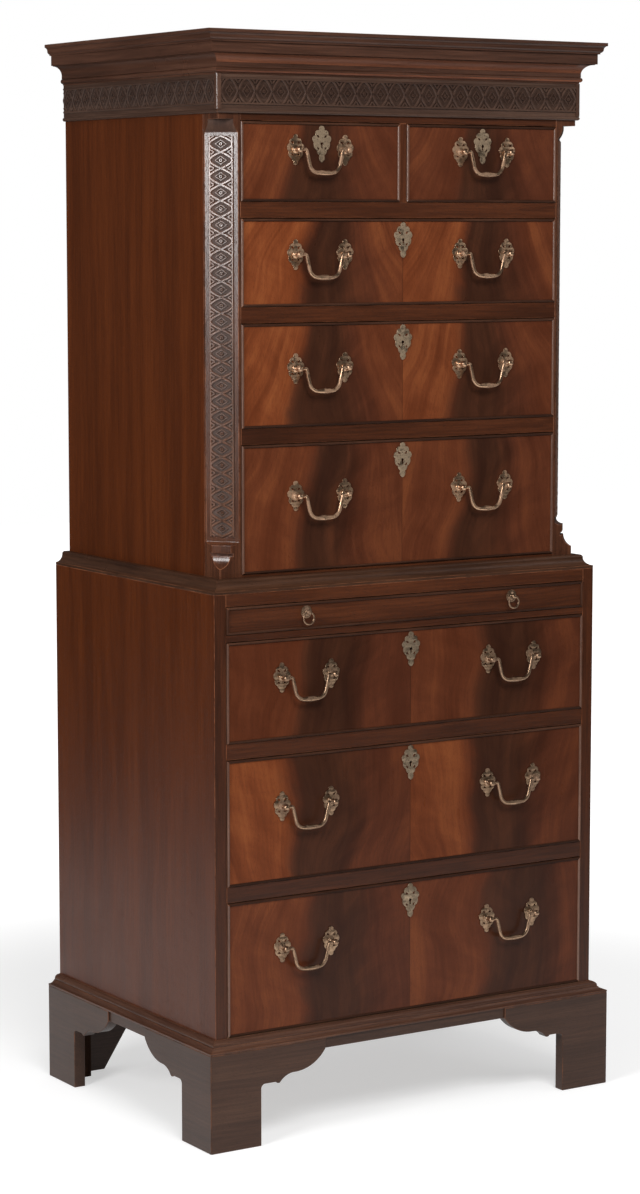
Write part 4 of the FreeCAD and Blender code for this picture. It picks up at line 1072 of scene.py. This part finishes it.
# %% Frets on the frieze and the canted corners
FRIEZE_FLAT = 0.0022  # the flat of the frieze lies this far behind its bead
FRIEZE_FOOT = 0.0058  # the height of that bead
BACK_GAP = 0.003
FRET_LOW, FRET_HIGH = 1.6185, 1.6600
STILE = 0.0055  # the plain corner that the frets of the frieze run up to
STILE_ROUND, STILE_STEPS = 0.0032, 6
FRIEZE_EYE, CANT_EYE = 0.031, 0.0248
FRIEZE_STRAP, CANT_STRAP = 0.0040, 0.0044
CANT_LOW, CANT_HIGH = 0.958, 1.572
CANT_MIDDLE = (0.3205, -0.203)
CANT_TURN = math.atan2(42, 35)
CANT_FRET_WIDTH = 0.041

frieze_low, frieze_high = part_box("frieze")
frieze_face = frieze_low.y + FRIEZE_FLAT
frieze_side = frieze_high.x - FRIEZE_FLAT
frieze_back = frieze_high.y - BACK_GAP
fret_middle = (FRET_LOW + FRET_HIGH) / 2
front_length = 2 * (frieze_side - STILE)
side_length = frieze_back - frieze_face - STILE


def frieze_run(label, length, place):
    """The fret of one face of the frieze."""
    name = "frieze_fret_" + label
    return fret_run(name, length, FRIEZE_EYE, FRET_HIGH - FRET_LOW, FRIEZE_STRAP, wood["frieze"], place)


SIDES = ((-1, "left"), (1, "right"))
side_middle = (frieze_back + frieze_face + STILE) / 2
runs = [frieze_run("front", front_length, Matrix.Translation((0, frieze_face, fret_middle)))]
for sign, label in SIDES:
    turn = Matrix.Rotation(sign * quarter, 4, "Z")
    place = Matrix.Translation((sign * frieze_side, side_middle, fret_middle))
    runs.append(frieze_run(label, side_length, place @ turn))
    turn = Matrix.Rotation(sign * CANT_TURN, 4, "Z") @ Matrix.Rotation(quarter, 4, "Y")
    place = Matrix.Translation((sign * CANT_MIDDLE[0], CANT_MIDDLE[1], (CANT_LOW + CANT_HIGH) / 2))
    length = CANT_HIGH - CANT_LOW
    name = "corner_fret_" + label
    runs.append(fret_run(name, length, CANT_EYE, CANT_FRET_WIDTH, CANT_STRAP, wood["fret"], place @ turn))


def corner_stile(sign, label):
    """An upright with a rounded outer corner, over the mitre of the frieze."""
    out_x, out_y = frieze_side + PROUD, frieze_face - PROUD
    in_x, in_y = frieze_side - SINK, frieze_face + SINK
    inner, rear = frieze_side - STILE, frieze_face + STILE
    plan = [(inner, in_y), (inner, out_y)]
    for step in range(STILE_STEPS + 1):
        angle = quarter * step / STILE_STEPS
        x = out_x - STILE_ROUND + STILE_ROUND * math.sin(angle)
        y = out_y + STILE_ROUND - STILE_ROUND * math.cos(angle)
        plan.append((x, y))
    plan += [(out_x, rear), (in_x, rear), (in_x, in_y)]
    work = bmesh.new()
    levels = (frieze_low.z + FRIEZE_FOOT, frieze_high.z)
    bridge(work, [[work.verts.new((sign * x, y, z)) for x, y in plan] for z in levels], capped=True)
    bmesh.ops.recalc_face_normals(work, faces=work.faces)
    tag_board(work, 3)
    mesh = mesh_of(work, "stile")
    mesh.materials.append(wood["stile"])
    even_normals(mesh)
    return add_object("frieze_stile_" + label, mesh)


runs += [corner_stile(sign, label) for sign, label in SIDES]
for run in runs:
    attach(run, "upper_case")
print("fret pieces", [run.name for run in runs])

# %% [markdown]
# ## Turned, sawn and cast brass
#
# A pull is two pierced roses, two turned posts with ball heads, a nut behind each, and a bail
# that swings between them. Roses and escutcheons are sawn from sheet: a flat curve with holes,
# given a thickness and a rounded edge. Posts are turned, so a profile is spun. One Geometry
# Nodes tree lays them all. Outlines are in millimetres, and `MM` makes metres of them.

# %% Sawn plates
MM = 0.001
PLATE_MM = 1.6
PLATE_EDGE_MM = 0.25
# An outline's right half: its first point, then a point on each arc and the arc's end.
ROSE_HALF = [
    (0, 23.5), ((3.8, 21.5), (4.0, 17.5)), ((9.4, 15.6), (11.0, 9.6)), ((15.5, 4.0), (12.2, -2.6)),
    ((12.6, -8.8), (8.2, -12.4)), ((6.8, -15.6), (4.0, -17.5)), ((3.8, -21.5), (0, -23.5)),
]
ESCUTCHEON_HALF = [
    (0, 28), ((4.4, 25.4), (4.2, 20.8)), ((10.6, 19.6), (11.4, 13.4)), ((17.0, 9.0), (14.2, 2.6)),
    ((13.8, -5.2), (8.8, -9.6)), ((7.8, -14.4), (4.2, -17.4)), ((4.2, -24.8), (0, -28)),
]
# A hole like a leaf: its two tips and its bulge.
ROSE_HOLES = [((3.2, 9.0), (8.2, 12.6), 1.6), ((3.2, -8.8), (7.8, -6.4), 1.4)]
ESCUTCHEON_HOLES = [((4.2, 9.6), (9.4, 13.4), 1.6), ((4.6, -9.0), (8.8, -4.6), 1.4)]
KEY_RADIUS, KEY_HALF_SLOT, KEY_FOOT = 2.6, 1.3, -6.5


def on_circle(centre, radius, angle):
    return (centre[0] + radius * math.cos(angle), centre[1] + radius * math.sin(angle))


def arc_through(start, middle, end, count=6):
    """Points after the start on the arc through three points."""
    (ax, ay), (bx, by), (cx, cy) = start, middle, end
    d = 2 * (ax * (by - cy) + bx * (cy - ay) + cx * (ay - by))
    a2, b2, c2 = ax * ax + ay * ay, bx * bx + by * by, cx * cx + cy * cy
    ux = (a2 * (by - cy) + b2 * (cy - ay) + c2 * (ay - by)) / d
    uy = (a2 * (cx - bx) + b2 * (ax - cx) + c2 * (bx - ax)) / d
    first, mid, last = (math.atan2(y - uy, x - ux) for x, y in (start, middle, end))
    turn = (last - first) % math.tau
    if (mid - first) % math.tau > turn:
        turn -= math.tau
    radius = math.dist((ux, uy), start)
    return [on_circle((ux, uy), radius, first + turn * k / count) for k in range(1, count + 1)]


def sawn_outline(half):
    """The whole outline from its right half."""
    points = [half[0]]
    for middle, end in half[1:]:
        points += arc_through(points[-1], middle, end)
    return points[:-1] + [(-x, y) for x, y in points[:0:-1]]


def leaf_hole(start, end, bulge, sign):
    run = Vector((end[0] - start[0], end[1] - start[1]))
    out = Vector((-run.y, run.x)).normalized() * bulge
    middle = (Vector(start) + Vector(end)) / 2
    ring = [start] + arc_through(start, tuple(middle + out), end, 4)
    ring += arc_through(end, tuple(middle - out), start, 4)[:-1]
    return [(sign * x, y) for x, y in ring]


def tidy_mesh(mesh):
    """Weld, turn outward and smooth a made mesh, and mark its small rounded faces as rubbed."""
    work = bmesh.new()
    work.from_mesh(mesh)
    bmesh.ops.remove_doubles(work, verts=work.verts, dist=0.00001)
    bmesh.ops.recalc_face_normals(work, faces=work.faces)
    rubbed = work.faces.layers.float.new("rubbed")
    for face in work.faces:
        face[rubbed] = 0.0 if abs(face.normal.y) > 0.95 else 0.7
    work.to_mesh(mesh)
    work.free()
    even_normals(mesh)
    return mesh


def sawn_plate(name, half, holes, rings=()):
    """A plate in the XZ plane, its back on y = 0, cut by its holes, its edges rounded."""
    rings = [sawn_outline(half), *rings] + [leaf_hole(*hole, sign) for hole in holes for sign in (1, -1)]
    curve = bpy.data.curves.new(name, "CURVE")
    curve.dimensions = "2D"
    curve.fill_mode = "BOTH"
    curve.extrude = (PLATE_MM / 2 - PLATE_EDGE_MM) * MM
    curve.bevel_depth = PLATE_EDGE_MM * MM
    curve.bevel_resolution = 1
    curve.offset = -PLATE_EDGE_MM * MM
    for ring in rings:
        spline = curve.splines.new("POLY")
        spline.points.add(len(ring) - 1)
        spline.use_cyclic_u = True
        for point, (x, y) in zip(spline.points, ring):
            point.co = (x * MM, y * MM, 0, 1)
    mesh = made_real(add_object(name, curve))
    mesh.transform(Matrix.Translation((0, -PLATE_MM * MM / 2, 0)) @ Matrix.Rotation(quarter, 4, "X"))
    return tidy_mesh(mesh)


key_hole = [on_circle((0, 0), KEY_RADIUS, math.radians(turn)) for turn in range(-60, 241, 30)]
key_hole = [(KEY_HALF_SLOT, KEY_FOOT), *key_hole, (-KEY_HALF_SLOT, KEY_FOOT)]
rose = sawn_plate("rose", ROSE_HALF, ROSE_HOLES)
escutcheon = sawn_plate("escutcheon", ESCUTCHEON_HALF, ESCUTCHEON_HOLES, [key_hole])
print("rose faces", len(rose.polygons), "escutcheon faces", len(escutcheon.polygons))

# %% Turned posts, nuts and locks, in millimetres
BEHIND = -20.0  # the back of a drawer front, behind its face
PIVOT_STAND = 14
SHANK = 2.4
HEAD = 5.2
# Profiles are (radius, distance ahead of the drawer's face).
POST_PROFILE = [
    (0, BEHIND - 5), (SHANK, BEHIND - 5), (SHANK, 1.6), (6.2, 1.6), (6.2, 2.2), (5.4, 3.0),
    (3.9, 3.6), (3.2, 5.0), (3.2, 7.4), (4.4, 8.6),
]
NUT_PROFILE = [
    (SHANK, BEHIND), (6.0, BEHIND), (6.0, BEHIND - 3.3), (5.3, BEHIND - 4.0), (SHANK, BEHIND - 4.0),
    (SHANK, BEHIND),
]
EYE_PROFILE = [
    (0, -10), (SHANK, -10), (SHANK, 0), (10, 0), (10, 0.5), (9.2, 0.9), (7.4, 0.8), (6.8, 1.4),
    (3.4, 1.7), (2.0, 3.0), (2.0, 4.4),
]
# A lock's case and the cap plate on it, each by two corners.
LOCK_BLOCKS = (((-29, 11, -20), (29, 19.4, 20)), ((-25, 19, -16), (25, 20, 16)))
LOCK_EASE = 0.4


def turned(name, profile, sides=20):
    """A profile spun about the Y axis."""
    work = bmesh.new()
    rings = []
    for radius, ahead in profile:
        around = circle(sides) if radius else [(0, 0)]
        rings.append([work.verts.new((radius * MM * c, -ahead * MM, radius * MM * s)) for c, s in around])
    bridge(work, rings)
    return tidy_mesh(mesh_of(work, name))


def ball(radius, centre, first, count=9):
    """The profile of a ball, from an angle at its neck to its crown."""
    angles = [math.radians(first + (180 - first) * k / count) for k in range(count)]
    return [(radius * math.sin(a), centre - radius * math.cos(a)) for a in angles] + [(0, centre + radius)]


def lock_mesh():
    """A lock let into the back of the front: its case, and a cap plate on the case."""
    work = bmesh.new()
    for low, high in LOCK_BLOCKS:
        for vert in bmesh.ops.create_cube(work, size=1.0)["verts"]:
            vert.co = [(a if c < 0 else b) * MM for a, b, c in zip(low, high, vert.co)]
    bevel(work, work.edges[:], LOCK_EASE * MM, 1)
    return tidy_mesh(mesh_of(work, "lock"))


post = turned("post", POST_PROFILE + ball(HEAD, PIVOT_STAND, 48))
nut = turned("nut", NUT_PROFILE, 6)
eye = turned("ring_plate", EYE_PROFILE + ball(4.2, 8, 40))
patterns = {"rose": rose, "escutcheon": escutcheon, "post": post, "nut": nut, "lock": lock_mesh(), "eye": eye}
patterns = {name: add_object(name + "_pattern", mesh) for name, mesh in patterns.items()}
print("post faces", len(post.polygons))

# %% Lay the fittings where they go
def build_places():
    """Another object, laid at every point of the piece."""
    takes = {"Places": "Geometry", "Fitting": "Object", "Finish": "Material"}
    bench, given = group("fittings_at_places", takes, *GEOMETRY)
    fitting = bench.lay("GeometryNodeObjectInfo", named={"Object": given["Fitting"]}, pick="Geometry")
    return give_laid(bench, given, given["Places"], fitting)


places_tree = build_places()


def fit(name, fitting, finish, places):
    """One kind of fitting at all its places, as a mesh."""
    spots = bpy.data.meshes.new(name)
    spots.from_pydata(places, [], [])
    piece = add_object(name, spots)
    return lay_again(piece, name + "_laid", places_tree, Fitting=patterns[fitting], Finish=finish)


def join(name, parts):
    """Several finished meshes as one piece that keeps each part's finish."""
    finishes = []
    gathered = bmesh.new()
    for part in parts:
        finish = [material for material in part.data.materials if material][0]
        if finish not in finishes:
            finishes.append(finish)
        for face in part.data.polygons:
            face.material_index = finishes.index(finish)
        gathered.from_mesh(part.data)
        bpy.data.objects.remove(part)
    mesh = mesh_of(gathered, name)
    for finish in finishes:
        mesh.materials.append(finish)
    even_normals(mesh)
    return add_object(name, mesh)


# %% Brass of each drawer and of the slide
POST_SPACING = 0.091
ESCUTCHEON_DROP = 0.033  # below the top of the drawer front
BEAD_PROUD = 0.0025


def pivots(start):
    """Where the bails or rings whose names start like this hang."""
    return [joint_of_body[body]["pos_m"] for body in sorted(joint_of_body) if body.startswith(start)]


def dress_drawer_brass(drawer):
    low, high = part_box(drawer + "_front")
    face = low.y + BEAD_PROUD
    half = POST_SPACING / 2
    posts = [(x + side, face, z) for x, _, z in pivots(drawer + "_bail") for side in (-half, half)]
    middle = [((low.x + high.x) / 2, face, high.z - ESCUTCHEON_DROP)]
    rows = [
        ("_roses", "rose", "rose", posts),
        ("_posts", "post", "handle", posts),
        ("_nuts", "nut", "plate", posts),
        ("_escutcheon", "escutcheon", "plate", middle),
        ("_lock", "lock", "plate", middle),
    ]
    case = case_of(drawer)
    parts = [fit(drawer + ending, fitting, brass[case, part], at) for ending, fitting, part, at in rows]
    hand_over(join(drawer + "_brass_finished", parts), drawer + "_brass")
    return len(posts)


print("posts", {drawer: dress_drawer_brass(drawer) for drawer in drawers})

slide_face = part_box("slide_board")[0].y + BEAD_PROUD
eyes = [(x, slide_face, z) for x, _, z in pivots("slide_ring")]
slide_plates = fit("slide_eyes", "eye", brass["lower", "handle"], eyes)
hand_over(join("slide_brass_finished", [slide_plates]), "slide_brass")

# %% [markdown]
# ## Swan-neck bails and rings
#
# A bail was cast as a straight bar with a swollen grip, then bent hot: up out of the post, over
# in a small neck, down a slanting arm and round into the grip. The line below does the same.
# Rings of points along it give the pin, the neck and the grip their own thickness.

# %% The bail's line, in millimetres and degrees
HALF_SPACING = POST_SPACING / MM / 2
END_GAP = 0.8  # between the neck and the head of the post
PIN_REACH = 3.0
NECK_RISE, NECK_FALL, NECK_TURN = 5.0, 3.6, 20
ARM_SLANT = 14
BAIL_CORNER, BAIL_DROP = 16.0, 35.5
PIN, BAR, GRIP, GRIP_HALF = 2.0, 3.0, 4.2, 15
RING_RADIUS, RING_WIRE = 9.5, 1.5
SWEEP_SIDES, RING_STEPS = 12, 40


def bend(centre, radius, first, last, step=9):
    """Points after the first on an arc, angles in degrees."""
    count = max(2, math.ceil(abs(last - first) / step))
    angles = [math.radians(first + (last - first) * k / count) for k in range(1, count + 1)]
    return [on_circle(centre, radius, angle) for angle in angles]


def bail_line():
    """The right half of the bail about its pivot, from the neck to the grip."""
    start = (HALF_SPACING - HEAD - END_GAP, 0)
    slant = math.radians(ARM_SLANT)
    line = [start] + bend((start[0], NECK_RISE), NECK_RISE, -90, -90 - NECK_TURN)
    over = on_circle(line[-1], NECK_FALL, math.radians(-90 - NECK_TURN))
    line += bend(over, NECK_FALL, 90 - NECK_TURN, 180 - ARM_SLANT)
    top = line[-1]
    corner_z = -BAIL_DROP + BAIL_CORNER
    arm = (top[1] - corner_z + BAIL_CORNER * math.sin(slant)) / math.cos(slant)
    foot = (top[0] - arm * math.sin(slant), corner_z - BAIL_CORNER * math.sin(slant))
    line += [(top[0] + (foot[0] - top[0]) * k / 4, top[1] + (foot[1] - top[1]) * k / 4) for k in (1, 2, 3, 4)]
    line += bend((foot[0] - BAIL_CORNER * math.cos(slant), corner_z), BAIL_CORNER, -ARM_SLANT, -90)
    grip_start = line[-1][0]
    return line + [(grip_start * (1 - k / 6), -BAIL_DROP) for k in range(1, 6)]


def swept(name, line, radii, closed=False):
    """A round bar along a flat line in the XZ plane, capped at its ends unless it closes."""
    work = bmesh.new()
    rings = []
    for index, ((x, z), radius) in enumerate(zip(line, radii)):
        run = run_at(line, index, closed)
        ring = []
        for c, s in circle(SWEEP_SIDES):
            place = (x - run.y * radius * c, radius * s, z + run.x * radius * c)
            ring.append(work.verts.new(Vector(place) * MM))
        rings.append(ring)
    bridge(work, rings, around=closed, capped=not closed)
    return mesh_of(work, name)


# %% Cast the bails
def bail_mesh():
    half = bail_line()
    inner = half[0][0]
    pin_end = HALF_SPACING + PIN_REACH
    half = [(pin_end, 0), (pin_end - 0.5, 0), (inner + 0.5, 0)] + half
    line = half + [(0, -BAIL_DROP)] + [(-x, z) for x, z in half[::-1]]
    radii = []
    for x, z in line:
        if abs(x) > inner + 0.2:
            radii.append(PIN - (0.4 if abs(x) > pin_end - 0.1 else 0))
        elif z < -BAIL_DROP + 0.5:
            swell = max(0.0, math.cos(min(abs(x) / GRIP_HALF, 1) * quarter)) ** 1.4
            radii.append(BAR + (GRIP - BAR) * swell)
        else:
            radii.append(BAR - 0.35 * max(0.0, 1 - abs(z) / 10))
    return swept("bail", line, radii)


def hang(body, pattern):
    """A copy of a casting on its pivot, on the body that swings."""
    mesh = tidy_mesh(pattern.copy())
    mesh.materials.append(brass[case_of(body), "handle"])
    mesh.transform(Matrix.Translation(joint_of_body[body]["pos_m"]))
    node = nodes_of_body[body][0]
    hand_over(add_object(node + "_finished", mesh), node)


bail = bail_mesh()
# A ring hangs from its top.
ring_line = [(RING_RADIUS * s, RING_RADIUS * (c - 1)) for c, s in circle(RING_STEPS)]
ring = swept("ring", ring_line, [RING_WIRE] * RING_STEPS, closed=True)
for body in sorted(joint_of_body):
    if "bail" in body:
        hang(body, bail)
    elif "ring" in body:
        hang(body, ring)
print("bail faces", len(bail.polygons), "ring faces", len(ring.polygons))

# %% [markdown]
# ## The last step
#
# The patterns that the fittings were copied from are cleared away. The dressed piece has to
# stay inside the box of the imported one.

# %% Clear the bench
for pattern in patterns.values():
    bpy.data.objects.remove(pattern)
